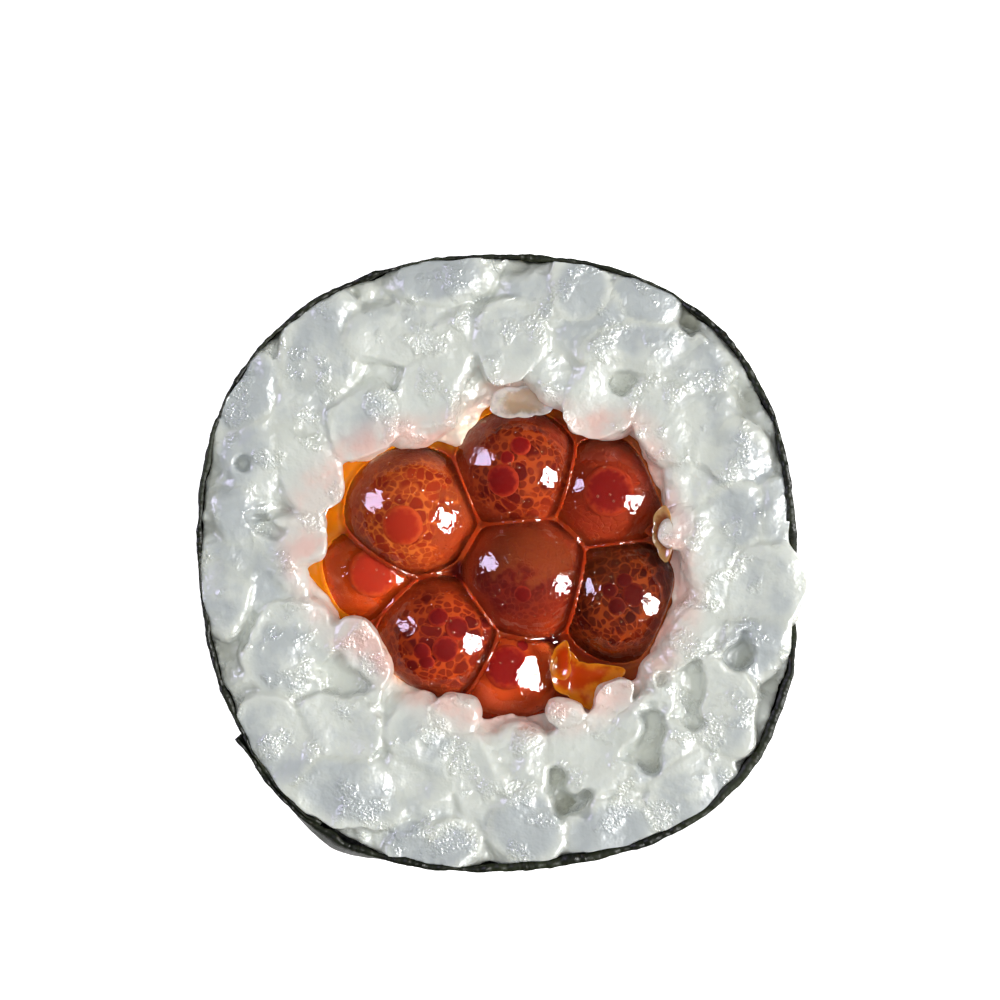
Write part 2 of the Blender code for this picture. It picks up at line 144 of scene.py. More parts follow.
class Graph:
    """Adds nodes to one shader or geometry tree and joins them."""

    def __init__(self, tree: Tree, material: Material | None = None) -> None:
        """Keeps the tree that the nodes go into, and the material that it belongs to."""
        self.tree = tree
        self.material = material

    def feed(self, socket: Socket, value: object) -> None:
        """Links a socket or a node's first output to an input, or sets the input to a plain value.

        Args:
            socket: The input.
            value: A node, an output socket or a plain value.
        """
        if isinstance(value, Node):
            value = next(output for output in value.outputs if output.enabled)
        if isinstance(value, Socket):
            self.tree.links.new(value, socket)
        else:
            socket.default_value = value

    def node(self, kind: str, inputs: dict | None = None, **settings: object) -> Node:
        """Adds one node.

        Args:
            kind: The node's type.
            inputs: What each input takes, by name or number.
            **settings: The node's own properties.

        Returns:
            The new node.
        """
        node = self.tree.nodes.new(kind)
        for name, value in settings.items():
            setattr(node, name, value)
        for name, value in (inputs or {}).items():
            self.feed(node.inputs[name], value)
        return node

    def math(self, operation: str, *values: object) -> Socket:
        """Adds a Math node and returns its result."""
        return self.node("ShaderNodeMath", dict(enumerate(values)), operation=operation).outputs[0]

    def add(self, first: object, second: object) -> Socket:
        """Adds two values."""
        return self.math("ADD", first, second)

    def minus(self, first: object, second: object) -> Socket:
        """Takes the second value from the first."""
        return self.math("SUBTRACT", first, second)

    def times(self, first: object, second: object) -> Socket:
        """Multiplies two values."""
        return self.math("MULTIPLY", first, second)

    def ramp(self, value: object, low: float, high: float, start: float = 0.0, end: float = 1.0) -> Socket:
        """Maps low to high softly onto start to end and returns the result."""
        inputs = {"Value": value, "From Min": low, "From Max": high, "To Min": start, "To Max": end}
        return self.node("ShaderNodeMapRange", inputs, interpolation_type="SMOOTHSTEP").outputs[0]

    def toward(self, colour: object, other: Colour, share: object) -> Socket:
        """Mixes a colour towards another by this share and returns the result."""
        return self.node("ShaderNodeMix", {0: share, 6: colour, 7: tint(other)}, data_type="RGBA").outputs[2]

    def noise(self, vector: object, size: float, detail: float = 2.0) -> Socket:
        """Adds noise whose lumps are about this large in millimetres, and returns its value."""
        inputs = {"Vector": vector, "Scale": 1.0 / size, "Detail": detail}
        return self.node("ShaderNodeTexNoise", inputs).outputs[0]

    def ragged(self, value: object, cloud: object, low: float, high: float, span: Spot = (0.3, 0.7)) -> Socket:
        """Adds a cloud to a value, mapped onto low to high, and returns the result."""
        return self.add(value, self.ramp(cloud, *span, low, high))

    def attribute(self, name: str) -> Socket:
        """Reads a value that the mesh keeps at its points."""
        return self.node("ShaderNodeAttribute", attribute_name=name).outputs["Fac"]

    def vector(self, operation: str, *values: object, scale: object = 1.0) -> Socket:
        """Adds a Vector Math node and returns its vector."""
        inputs = {**dict(enumerate(values)), 3: scale}
        return self.node("ShaderNodeVectorMath", inputs, operation=operation).outputs[0]

    def place(self) -> Socket:
        """Gives the place on the piece in millimetres."""
        return self.vector("SCALE", self.node("ShaderNodeTexCoord").outputs["Object"], scale=PER_METRE)

    def height_of(self, direction: object) -> Socket:
        """Gives a direction's Z without its sign."""
        return self.math("ABSOLUTE", self.node("ShaderNodeSeparateXYZ", {0: direction}).outputs["Z"])

    def facing(self, direction: object, side: Spot) -> Socket:
        """Gives how far a direction faces a side, from -1 to 1."""
        inputs = {0: direction, 1: side}
        return self.node("ShaderNodeVectorMath", inputs, operation="DOT_PRODUCT").outputs["Value"]

    def egg_place(self, centre: Vector, radius: float = 2.2) -> tuple[Socket, Socket]:
        """Maps an egg flat from its poles.

        Args:
            centre: The egg's middle in millimetres.
            radius: The radius that the map is true for.

        Returns:
            The place on the map, and the way out from the egg's middle.
        """
        out = self.vector("NORMALIZE", self.vector("SUBTRACT", self.place(), tuple(centre)))
        stretch = self.math("DIVIDE", 2.0 * radius, self.add(self.height_of(out), 1.0))
        return self.vector("ADD", self.vector("SCALE", out, scale=stretch), tuple(centre)), out


def new_group(name: str, kind: str, inputs: dict, outputs: dict) -> tuple[Graph, Node]:
    """Starts a node group with named sockets.

    Args:
        name: The group's name.
        kind: ShaderNodeTree or GeometryNodeTree.
        inputs: For each input its socket's type and its default, or None for none.
        outputs: For each output its socket's type.

    Returns:
        The graph of the group and its input node.
    """
    tree = bpy.data.node_groups.new(name, kind)
    for label, (socket_type, default) in inputs.items():
        socket = tree.interface.new_socket(label, in_out="INPUT", socket_type=f"NodeSocket{socket_type}")
        if default is not None:
            socket.default_value = default
    for label, socket_type in outputs.items():
        tree.interface.new_socket(label, in_out="OUTPUT", socket_type=f"NodeSocket{socket_type}")
    return Graph(tree), tree.nodes.new("NodeGroupInput")


def place_group(graph: Graph, name: str, inputs: dict) -> Node:
    """Puts a shader node group into a material.

    Args:
        graph: The material's graph.
        name: The group's name.
        inputs: What each input takes, by name.

    Returns:
        The group's node.
    """
    node = graph.node("ShaderNodeGroup", node_tree=bpy.data.node_groups[name])
    for label, value in inputs.items():
        graph.feed(node.inputs[label], value)
    return node


def make_shader_groups() -> None:
    """Builds the shader effects that several materials share."""
    sizes = {
        "Vector": ("Vector", None),
        "Fine Size": ("Float", 0.12),
        "Coarse Size": ("Float", 0.5),
        "Patch Size": ("Float", 1.6),
        "Fine Share": ("Float", 0.5),
    }
    graph, given = new_group("wet_relief", "ShaderNodeTree", sizes, {"Height": "Float", "Patch": "Float"})
    layers = {}
    for label, detail in (("Fine Size", 1.5), ("Coarse Size", 2.0), ("Patch Size", 2.0)):
        scale = graph.math("DIVIDE", 1.0, given.outputs[label])
        inputs = {"Vector": given.outputs["Vector"], "Scale": scale, "Detail": detail}
        layers[label] = graph.node("ShaderNodeTexNoise", inputs).outputs[0]
    patch = graph.ramp(layers["Patch Size"], 0.5, 0.64)
    fine = graph.times(graph.times(layers["Fine Size"], patch), given.outputs["Fine Share"])
    graph.node("NodeGroupOutput", {"Height": graph.add(layers["Coarse Size"], fine), "Patch": patch})

    sizes = {
        "Spot": ("Vector", None),
        "Cell Size": ("Float", 0.5),
        "Line Width": ("Float", 0.08),
        "Largest": ("Float", 0.72),
    }
    graph, given = new_group("oil_foam", "ShaderNodeTree", sizes, {"Droplet": "Float", "Chance": "Float"})
    scale = graph.math("DIVIDE", 1.0, given.outputs["Cell Size"])
    inputs = {"Vector": given.outputs["Spot"], "Scale": scale}
    nearest, second = (
        graph.node("ShaderNodeTexVoronoi", inputs, voronoi_dimensions="2D", feature=feature)
        for feature in ("F1", "F2")
    )
    between = graph.minus(second.outputs["Distance"], nearest.outputs["Distance"])
    chance = graph.node("ShaderNodeSeparateColor", {0: nearest.outputs["Color"]}).outputs[0]
    inside = graph.times(graph.minus(between, given.outputs["Line Width"]), EDGE_SLOPE)
    largest = graph.times(given.outputs["Largest"], graph.ramp(chance, 0.0, 1.0, 0.6, 1.0))
    round_off = graph.times(graph.minus(largest, nearest.outputs["Distance"]), EDGE_SLOPE)
    droplet = graph.node("ShaderNodeClamp", {0: graph.math("MINIMUM", inside, round_off)}).outputs[0]
    graph.node("NodeGroupOutput", {"Droplet": droplet, "Chance": chance})


def new_material(name: str) -> tuple[Graph, Node, Node]:
    """Starts a material.

    Args:
        name: The material's name.

    Returns:
        Its graph, its Principled shader and its output node.
    """
    material = bpy.data.materials.new(name)
    material.use_nodes = True
    nodes = material.node_tree.nodes
    return Graph(material.node_tree, material), nodes["Principled BSDF"], nodes["Material Output"]


@dataclass(frozen=True)
class Coat:
    """What a finish's shader takes besides its colours: its glow, its gloss and the depth of its relief."""

    glow: float = 0.0
    glow_colour: Spot = (1.0, 1.0, 1.0)
    glow_mm: float = 0.0
    relief_mm: float = 0.05
    specular: float | None = None

    def put_on(self, graph: Graph, shader: Node, colour: Socket, rough: object, height: object) -> None:
        """Sets the shader's sockets.

        Args:
            graph: The material's graph.
            shader: Its Principled shader.
            colour: The base colour.
            rough: The roughness.
            height: The relief, or None for a smooth surface.
        """
        inputs = {"Base Color": colour, "Roughness": rough}
        if self.specular is not None:
            inputs["Specular IOR Level"] = self.specular
        if self.glow:
            inputs["Subsurface Weight"] = self.glow
            inputs["Subsurface Radius"] = self.glow_colour
            inputs["Subsurface Scale"] = self.glow_mm * MILLIMETRE
        if height is not None:
            bump = {"Height": height, "Distance": self.relief_mm * MILLIMETRE}
            inputs["Normal"] = graph.node("ShaderNodeBump", bump)
        for label, value in inputs.items():
            graph.feed(shader.inputs[label], value)


@dataclass(frozen=True)
class RiceFinish:
    """Cooked rice: milky and wet, greyer and clearer by the seaweed, pink by the roe, with painted shade in the
    creases between grains and in the sunk pockets.
    """

    milky: Colour = (215, 219, 213)
    clear: Colour = (188, 194, 195)
    # Painted shade colour of the creases between grains.
    crease: Colour = (190, 194, 184)
    # Painted shade colour of the rice sunk below the cut face, in the pockets.
    deep_shade: Colour = (188, 190, 176)
    blush: Colour = (240, 192, 180)
    coat: Coat = Coat(0.8, (1.0, 0.95, 0.85), 0.28, 0.09, 0.4)
    joint_share: float = 1.5
    cloud_size: float = 1.4

    def material(self) -> Material:
        """Builds the material.

        Returns:
            The material.
        """
        graph, shader, _ = new_material("cooked_rice")
        place = graph.place()
        relief = place_group(graph, "wet_relief", {"Vector": place, "Fine Size": 0.14, "Fine Share": 1.6})
        cloud = graph.noise(place, self.cloud_size, 3.0)
        clearness = graph.add(graph.ragged(graph.attribute("outer"), cloud, -0.35, 0.35), graph.attribute("tone"))
        heart = graph.times(graph.ramp(clearness, -0.1, 0.9), graph.attribute("heart"))
        colour = graph.toward(tint(self.milky), self.clear, heart)
        # Painted shade: the creases between grains are mixed towards a darker grey; the same mask also sinks the bump
        # there.
        crease = graph.attribute("crease")
        colour = graph.toward(colour, self.crease, crease)
        # Painted shade: rice sunk below the cut face is mixed towards a darker olive grey.
        colour = graph.toward(colour, self.deep_shade, graph.attribute("depth"))
        pink = graph.times(graph.attribute("blush"), graph.ramp(cloud, 0.35, 0.65, 0.4, 1.3))
        colour = graph.toward(colour, self.blush, pink)
        rough = graph.ramp(relief.outputs["Patch"], 0.0, 1.0, 0.36, 0.18)
        height = graph.minus(relief.outputs["Height"], graph.times(crease, self.joint_share))
        self.coat.put_on(graph, shader, colour, rough, height)
        return graph.material


@dataclass(frozen=True)
class SeaweedFinish:
    """Softened seaweed: green-black, blotchy and fibrous, with a satin sheen."""

    dark: Colour = (20, 24, 15)
    green: Colour = (38, 45, 22)
    brown: Colour = (52, 44, 28)
    pale: Colour = (66, 70, 52)
    coat: Coat = Coat(relief_mm=0.05, specular=0.12)
    fibre_size: float = 0.45
    cloud_size: float = 1.7
    speck_size: float = 0.22

    def material(self) -> Material:
        """Builds the material.

        Returns:
            The material.
        """
        graph, shader, _ = new_material("seaweed")
        place = graph.place()
        stretched = graph.node("ShaderNodeMapping", {"Vector": place, "Scale": (1.0, 1.0, 5.0)})
        fibre = graph.noise(stretched, self.fibre_size, 5.0)
        cloud = graph.noise(place, self.cloud_size, 5.0)
        speck = graph.noise(place, self.speck_size, 2.0)
        colour = graph.toward(tint(self.dark), self.green, graph.ramp(cloud, 0.35, 0.68))
        colour = graph.toward(colour, self.brown, graph.ramp(speck, 0.56, 0.72, 0.0, 0.6))
        colour = graph.toward(colour, self.pale, graph.ramp(fibre, 0.60, 0.78, 0.0, 0.5))
        rough = graph.ramp(cloud, 0.3, 0.7, 0.38, 0.6)
        self.coat.put_on(graph, shader, colour, rough, graph.add(fibre, graph.times(speck, 0.5)))
        return graph.material


@dataclass(frozen=True)
class JellyFinish:
    """The clear amber jelly round an egg. It lets the light of the lamps through to what lies inside."""

    amber: Colour = (255, 240, 214)
    lamp_share: Colour = (255, 240, 218)
    roughness: float = 0.02
    bending: float = 1.36
    coat: Coat = Coat(relief_mm=0.06)

    def material(self) -> Material:
        """Builds the material.

        Returns:
            The material.
        """
        graph, shader, output = new_material("egg_jelly")
        shader.inputs["IOR"].default_value = self.bending
        shader.inputs["Transmission Weight"].default_value = 1.0
        sizes = {"Vector": graph.place(), "Fine Size": 0.26, "Coarse Size": 0.8, "Patch Size": 0.9, "Fine Share": 0.5}
        relief = place_group(graph, "wet_relief", sizes)
        self.coat.put_on(graph, shader, tint(self.amber), self.roughness, relief.outputs["Height"])
        passing = graph.node("ShaderNodeBsdfTransparent", {"Color": tint(self.lamp_share)})
        ray = graph.node("ShaderNodeLightPath").outputs["Is Shadow Ray"]
        mixed = graph.node("ShaderNodeMixShader", {0: ray, 1: shader.outputs[0], 2: passing})
        graph.feed(output.inputs["Surface"], mixed)
        return graph.material


@dataclass(frozen=True)
class YolkFinish:
    """The oil under an egg's skin: dark red droplets in a net of orange, with painted shade on the side away from the
    key lamp and painted light on the side towards it.
    """

    net: Colour = (222, 92, 34)
    droplet: Colour = (132, 24, 18)
    light_droplet: Colour = (176, 48, 26)
    plain: Colour = (190, 66, 28)
    rim: Colour = (190, 84, 26)
    rim_share: float = 0.75
    cell: float = 0.74
    small_cell: float = 0.42
    line: float = 0.05
    bare_side: Spot = (0.0, 0.0, -1.0)
    bare_from: float = 0.3
    # The side that faces the key lamp, with the painted shade and painted light colours that it sets.
    lit_side: Spot = (0.62, -0.78, 0.0)
    shade: Colour = (64, 30, 14)
    shade_share: float = 0.2
    glow: Colour = (184, 66, 18)
    painted_light_share: float = 0.14
    wobble: float = 0.35
    small_line: float = 0.06
    small_share: float = 0.75
    coat: Coat = Coat(0.4, (1.0, 0.3, 0.1), 0.2, 0.02, 0.02)
    roughness: float = 0.6

    def material(self, name: str, centre: Vector) -> Material:
        """Builds the material of one egg.

        Args:
            name: The egg's name.
            centre: The egg's middle in the frame, in millimetres.

        Returns:
            The material.
        """
        graph, shader, _ = new_material(f"{name}_oil")
        place = graph.place()
        chart, out = graph.egg_place(centre)
        wobble = graph.node("ShaderNodeTexNoise", {"Vector": chart, "Scale": 1.2, "Detail": 1.0}).outputs["Color"]
        spot = graph.vector("ADD", chart, graph.vector("SCALE", wobble, scale=self.wobble))
        large, small = (
            place_group(graph, "oil_foam", {"Spot": spot, "Cell Size": cell, "Line Width": line})
            for cell, line in ((self.cell, self.line), (self.small_cell, self.small_line))
        )
        which = graph.ramp(graph.noise(chart, 1.5, 1.0), 0.42, 0.5)
        many = graph.times(large.outputs["Droplet"], which)
        few = graph.times(graph.times(small.outputs["Droplet"], graph.minus(1.0, many)), self.small_share)
        droplet = graph.math("MAXIMUM", many, few)
        red = graph.toward(tint(self.droplet), self.light_droplet, large.outputs["Chance"])
        inputs = {0: droplet, 6: tint(self.net), 7: red}
        colour = graph.node("ShaderNodeMix", inputs, data_type="RGBA").outputs[2]
        facing = graph.facing(out, tuple(Vector(self.bare_side).normalized()))
        bare = graph.ragged(facing, graph.noise(place, 0.8), -0.25, 0.25)
        bare = graph.ramp(bare, self.bare_from - 0.15, self.bare_from + 0.15)
        colour = graph.toward(colour, self.plain, bare)
        up = graph.ragged(graph.height_of(out), graph.noise(place, 1.5), -0.12, 0.12)
        colour = graph.toward(colour, self.rim, graph.ramp(up, 0.3, 0.62, self.rim_share, 0.0))
        # Painted shade darkens the side turned away from the key lamp, and painted light brightens the side turned
        # towards it.
        lit = graph.facing(out, self.lit_side)
        colour = graph.toward(colour, self.shade, graph.ramp(lit, 0.15, -0.9, 0.0, self.shade_share))
        colour = graph.toward(colour, self.glow, graph.ramp(lit, 0.3, 0.95, 0.0, self.painted_light_share))
        self.coat.put_on(graph, shader, colour, self.roughness, droplet)
        return graph.material


@dataclass(frozen=True)
class DiscFinish:
    """A large oil droplet: dark red in its middle and orange at its rim."""

    heart: Colour = (96, 12, 14)
    rim: Colour = (134, 38, 20)
    coat: Coat = Coat(0.3, (1.0, 0.2, 0.1), 0.1, specular=0.02)
    roughness: float = 0.7

    def material(self, name: str) -> Material:
        """Builds the material of one egg's large droplets.

        Args:
            name: The egg's name.

        Returns:
            The material.
        """
        graph, shader, _ = new_material(f"{name}_disc")
        heart = graph.ragged(graph.attribute("heart"), graph.noise(graph.place(), 0.3, 3.0), -0.12, 0.12)
        colour = graph.toward(tint(self.rim), self.heart, graph.ramp(heart, 0.3, 0.75))
        self.coat.put_on(graph, shader, colour, self.roughness, None)
        return graph.material


@dataclass(frozen=True)
class JuiceFinish:
    """Roe juice: orange in the grooves, with painted shade that darkens it lower down between the eggs, on the right
    side and in the holes between eggs; yellow at its thin edge on the upper left, partly its own colour and partly
    painted light.
    """

    # Painted shade: these two colours are mixed by height, darker low down and lighter orange high in the grooves.
    deep_shade: Colour = (118, 34, 14)
    groove: Colour = (136, 46, 18)
    # Yellow of thin juice on the upper left, partly its own colour and partly painted light.
    thin: Colour = (190, 114, 8)
    # Painted shade colour of the juice on the right side.
    brown: Colour = (170, 96, 50)
    # Painted shade colour of the holes between eggs.
    gap: Colour = (66, 8, 6)
    coat: Coat = Coat(0.8, (1.0, 0.45, 0.15), 0.5, 0.04)

    def material(self) -> Material:
        """Builds the material.

        Returns:
            The material.
        """
        graph, shader, _ = new_material("roe_juice")
        cloud = graph.noise(graph.place(), 0.8, 3.0)
        # Painted shade: juice lying lower between the eggs is painted darker red, juice higher in the grooves lighter
        # orange.
        colour = graph.toward(tint(self.deep_shade), self.groove, graph.attribute("level"))
        # Yellow of thin juice over the rice, put only near the rim on the upper left: partly the juice's own colour,
        # partly painted light on the lit side.
        thin = graph.ragged(graph.attribute("thin"), cloud, -0.25, 0.15)
        colour = graph.toward(colour, self.thin, graph.ramp(thin, 0.0, 0.9))
        # Painted shade: juice near the rim on the right side is mixed towards brown.
        colour = graph.toward(colour, self.brown, graph.attribute("brown"))
        # Painted shade: the small holes between three eggs are painted near black-red.
        colour = graph.toward(colour, self.gap, graph.attribute("gap"))
        self.coat.put_on(graph, shader, colour, graph.ramp(cloud, 0.3, 0.7, 0.05, 0.14), cloud)
        return graph.material


@dataclass(frozen=True)
class SkinFinish:
    """Torn egg skin: thin, glossy and glowing, paler at its edges."""

    name: str
    body: Colour
    edge: Colour
    clearness: float
    coat: Coat = Coat(0.7, (1.0, 0.5, 0.2), 0.4, 0.08)

    def material(self) -> Material:
        """Builds the material.

        Returns:
            The material.
        """
        graph, shader, _ = new_material(self.name)
        cloud = graph.noise(graph.place(), 0.7, 3.0)
        edge = graph.ragged(graph.attribute("edge"), cloud, -0.2, 0.2)
        colour = graph.toward(tint(self.body), self.edge, graph.ramp(edge, 0.45, 0.95))
        self.coat.put_on(graph, shader, colour, graph.ramp(cloud, 0.3, 0.7, 0.08, 0.2), cloud)
        graph.feed(shader.inputs["Alpha"], graph.ramp(edge, 0.6, 1.1, 1 - self.clearness, 1.0))
        return graph.material


@dataclass(frozen=True)
class Roll:
    """The roll's own lines: its outside, its sheet and the hole that the roe fills."""

    radius: float = 15.83
    height: float = 24.0
    oval: Spot = (0.23, 2, math.radians(-78))
    corners: Spot = (0.49, 4, math.radians(-41))
    lean: Spot = (0.07, 5, math.radians(31))
    barrel: float = 0.06
    solid_barrel: float = 0.35
    sheet: float = 0.35
    sheet_slack: float = 0.15
    seam: float = math.radians(213.6)
    tuck: float = math.radians(22)
    tuck_ramp: float = math.radians(11)
    skin_gap: float = 0.14
    thin_layer: float = 0.22
    thin_sheet: float = 0.2
    sheet_swell: float = 0.2
    sheet_waves: float = 0.14
    swell_at: float = math.radians(-38)
    least_sheet: float = 0.07
    edge_rounds: int = 30
    hole_centre: tuple[float, float] = (0.3, 0.4)
    hole_radii: tuple[float, ...] = (
        9.1, 8.7, 8.9, 8.0, 8.3, 7.5, 8.4, 9.4, 9.8, 9.2, 8.7, 8.5, 8.6, 9.1, 9.1, 9.0,
    )
    edge_radii: tuple[float, ...] = (
        8.6, 8.2, 8.8, 7.2, 7.8, 6.6, 8.3, 9.9, 10.1, 9.0, 7.9, 8.0, 8.0, 8.4, 8.7, 9.1,
    )

    def outside(self, angle: Array) -> Array:
        """Gives the radius of the roll's outside at its widest."""
        shapes = (self.oval, self.corners, self.lean)
        return self.radius + sum(size * np.cos(count * (angle - peak)) for size, count, peak in shapes)

    def barrel_inset(self, height: Array) -> Array:
        """Gives how far the outside draws in towards the cut faces."""
        return self.barrel * (2 * height / self.height - 1) ** 2

    def tuck_inset(self, angle: Array, layer: float) -> Array:
        """Gives how far the rice draws in where the sheet lies double.

        Args:
            angle: Where round the roll.
            layer: The depth of the second layer.

        Returns:
            The inset at each angle.
        """
        start = turned_from(angle, self.seam - self.tuck_ramp)
        end = turned_from(angle, self.seam + self.tuck)
        inside = start < 2 * self.tuck_ramp + self.tuck
        after = np.where(end < self.tuck_ramp, smoothstep(end / self.tuck_ramp), 0)
        return layer * (smoothstep(start / self.tuck_ramp) - after) * inside

    def sheet_depth(self, angle: Array) -> Array:
        """Gives the sheet's drawn thickness, which swells where the photo shows more of its edge.

        Args:
            angle: Where round the roll.

        Returns:
            The thickness at each angle.
        """
        waves = 0.45 * np.sin(9 * angle + 1) + 0.3 * np.sin(23 * angle) + 0.25 * np.sin(47 * angle + 2)
        swell = self.sheet_swell * smoothstep((np.cos(angle - self.swell_at) + 0.1) / 0.9)
        return np.maximum(self.thin_sheet + swell + self.sheet_waves * waves, self.least_sheet)

    def rice_limit(self, angle: Array, height: Array) -> Array:
        """Gives the radius of the rice's outside."""
        inset = self.tuck_inset(angle, self.thin_layer)
        return self.outside(angle) - self.barrel_inset(height) - self.sheet_depth(angle) - inset

    def solid_rice_limit(self, angle: Array, height: Array) -> Array:
        """Gives the radius of the solid rice's outside, which the grains are spread by.

        Args:
            angle: Where round the roll.
            height: The height above the foot.

        Returns:
            The radius at each angle.
        """
        barrel = self.solid_barrel * (2 * height / self.height - 1) ** 2
        inset = self.tuck_inset(angle, self.sheet + self.sheet_slack)
        return self.outside(angle) - barrel - (self.sheet + self.skin_gap + inset)

    @staticmethod
    def curve(angle: Array, radii: tuple[float, ...]) -> Array:
        """Gives the radius of a smooth closed curve.

        Args:
            angle: Where round the curve.
            radii: The radii that it runs through, at equal steps.

        Returns:
            The radius at each angle.
        """
        radii = np.array(radii)
        place = turned_from(angle, 0) / math.tau * len(radii)
        first = np.floor(place).astype(int)
        share = place - first
        a, b, c, d = (radii[(first + step) % len(radii)] for step in (-1, 0, 1, 2))
        bend = (c - a) + share * ((2 * a - 5 * b + 4 * c - d) + share * (3 * b - 3 * c + d - a))
        return b + 0.5 * share * bend

    def hole(self, angle: Array) -> Array:
        """Gives the hole's radius about its own centre."""
        return self.curve(angle, self.hole_radii)

    def gap(self, x: Array, y: Array, radii: tuple[float, ...]) -> Array:
        """Gives how far points lie outside a closed curve about the hole's centre, below 0 inside it."""
        dx, dy = x - self.hole_centre[0], y - self.hole_centre[1]
        return np.hypot(dx, dy) - self.curve(np.arctan2(dy, dx), radii)

    def hole(self, angle: Array) -> Array:
        """Gives the hole's radius about its own centre."""
        return self.curve(angle, self.hole_radii)

    def edge_gap(self, x: Array, y: Array) -> Array:
        """Gives how far points lie outside the line where the rice ends over the roe."""
        return self.gap(x, y, self.edge_radii)

    def hole_gap(self, x: Array, y: Array) -> Array:
        """Gives how far points lie outside the hole's edge."""
        return self.gap(x, y, self.hole_radii)

    def hole_edge(self, angle: Array) -> Array:
        """Finds where rays from the roll's centre cross the hole's outline.

        Args:
            angle: The rays' angles.

        Returns:
            The distance at which each crosses it.
        """
        low, high = np.zeros_like(angle), np.full_like(angle, self.radius)
        x, y = np.cos(angle), np.sin(angle)
        return halved(low, high, self.edge_rounds, lambda reach: self.hole_gap(reach * x, reach * y) < 0)[0]


@dataclass(frozen=True)
class Egg:
    """One salmon egg: its place, its half-sizes, and the oil in it with its large droplets."""

    name: str
    centre: Spot
    half: Spot
    oil: YolkFinish = YolkFinish()
    disc: DiscFinish = DiscFinish()
    discs: tuple[Spot, ...] = ()
    flat: float = 0.0


@dataclass
class Clutch:
    """The eggs of one cut face, which press each other flat."""

    roll: Roll
    face: Face
    eggs: list[Egg]
    solid_gap: float = 0.16
    solid_sharpness: float = 20.0
    wall_gap: float = 0.45
    wall_rounds: int = 14
    wall_allowance: float = 0.12
    shine: Spot = (0.474, -0.101, 0.875)
    shine_arc: float = 0.3
    press_arc: float = 0.05
    no_limit: float = 1e3

    def wall_reach(self, centre: Array, directions: Array, reach: Array) -> Array:
        """Gives how far the hole lets an egg reach.

        Args:
            centre: The egg's middle.
            directions: Unit vectors, one a row.
            reach: The egg's own reach along each.

        Returns:
            One distance for each direction.
        """

        def free(middle: Array) -> Array:
            """Says which of these distances still lie in the hole."""
            places = centre + directions * middle[:, None]
            return self.roll.hole_gap(places[:, 0], places[:, 1]) < -self.wall_gap

        return halved(np.zeros_like(reach), reach * 1.2, self.wall_rounds, free)[1]

    def reach(
        self, egg: Egg, directions: Array, gap: float, sharpness: float, share: float = 1.0
    ) -> Array:
        """Gives the distance from an egg's middle to its surface.

        Args:
            egg: The egg.
            directions: Unit vectors, one a row.
            gap: Room left between two eggs.
            sharpness: How sharp the turn is from a round side to a flat one.
            share: Part of its half-sizes that a free side keeps.

        Returns:
            One distance for each direction.
        """
        centre = np.array(egg.centre)
        own = sum(egg.half) / 3
        reach = 1 / np.sqrt(((directions / np.array(egg.half)) ** 2).sum(axis=1))
        limits = [reach * share, self.wall_reach(centre, directions, reach) * min(1.0, share + self.wall_allowance)]
        if egg.flat:
            facing = directions @ np.array(self.shine)
            limits.append(self.plane(facing, own * egg.flat, self.shine_arc))
        for other in self.eggs:
            between = np.array(other.centre) - centre
            distance = float(np.linalg.norm(between))
            theirs = sum(other.half) / 3
            if other is egg or distance >= own + theirs + self.solid_gap:
                continue
            middle = (distance**2 + own**2 - theirs**2) / (2 * distance) - gap / 2
            limits.append(self.plane(directions @ (between / distance), middle, self.press_arc))
        return sum(limit**-sharpness for limit in limits) ** (-1 / sharpness)

    def plane(self, facing: Array, distance: float, least: float) -> Array:
        """Gives how far away a plane lies along directions that face it this much, if at least the least."""
        return np.where(facing > least, distance / np.maximum(facing, least), self.no_limit)

    def meets(self, points: Array, gap: float) -> bool:
        """Says whether any point lies in an egg or too close to one.

        Args:
            points: The points, one a row.
            gap: The least distance.

        Returns:
            Whether one does.
        """
        for egg in self.eggs:
            offsets = points - np.array(egg.centre)
            lengths = np.linalg.norm(offsets, axis=1)
            near = lengths < max(egg.half) + gap
            if not near.any():
                continue
            directions = offsets[near] / lengths[near][:, None]
            reach = self.reach(egg, directions, self.solid_gap, self.solid_sharpness)
            if (lengths[near] < reach + gap).any():
                return True
        return False


def mesh_from(name: str, points: Array, faces: list) -> Mesh:
    """Makes a mesh, with its faces turned outwards.

    Args:
        name: The mesh's name.
        points: Its points, one a row.
        faces: The corners of each face, by point number.

    Returns:
        The mesh.
    """
    mesh = bpy.data.meshes.new(name)
    mesh.from_pydata([tuple(point) for point in points], [], faces)
    shape = bmesh.new()
    shape.from_mesh(mesh)
    bmesh.ops.recalc_face_normals(shape, faces=shape.faces)
    shape.to_mesh(mesh)
    shape.free()
    return mesh


def ball(levels: int) -> Shell:
    """Makes a faceted ball.

    Args:
        levels: How often its facets are divided.

    Returns:
        Its unit directions and its faces.
    """
    shape = bmesh.new()
    bmesh.ops.create_icosphere(shape, subdivisions=levels, radius=1.0)
    shape.verts.index_update()
    directions = np.array([vertex.co.normalized() for vertex in shape.verts])
    faces = [tuple(vertex.index for vertex in face.verts) for face in shape.faces]
    shape.free()
    return directions, faces


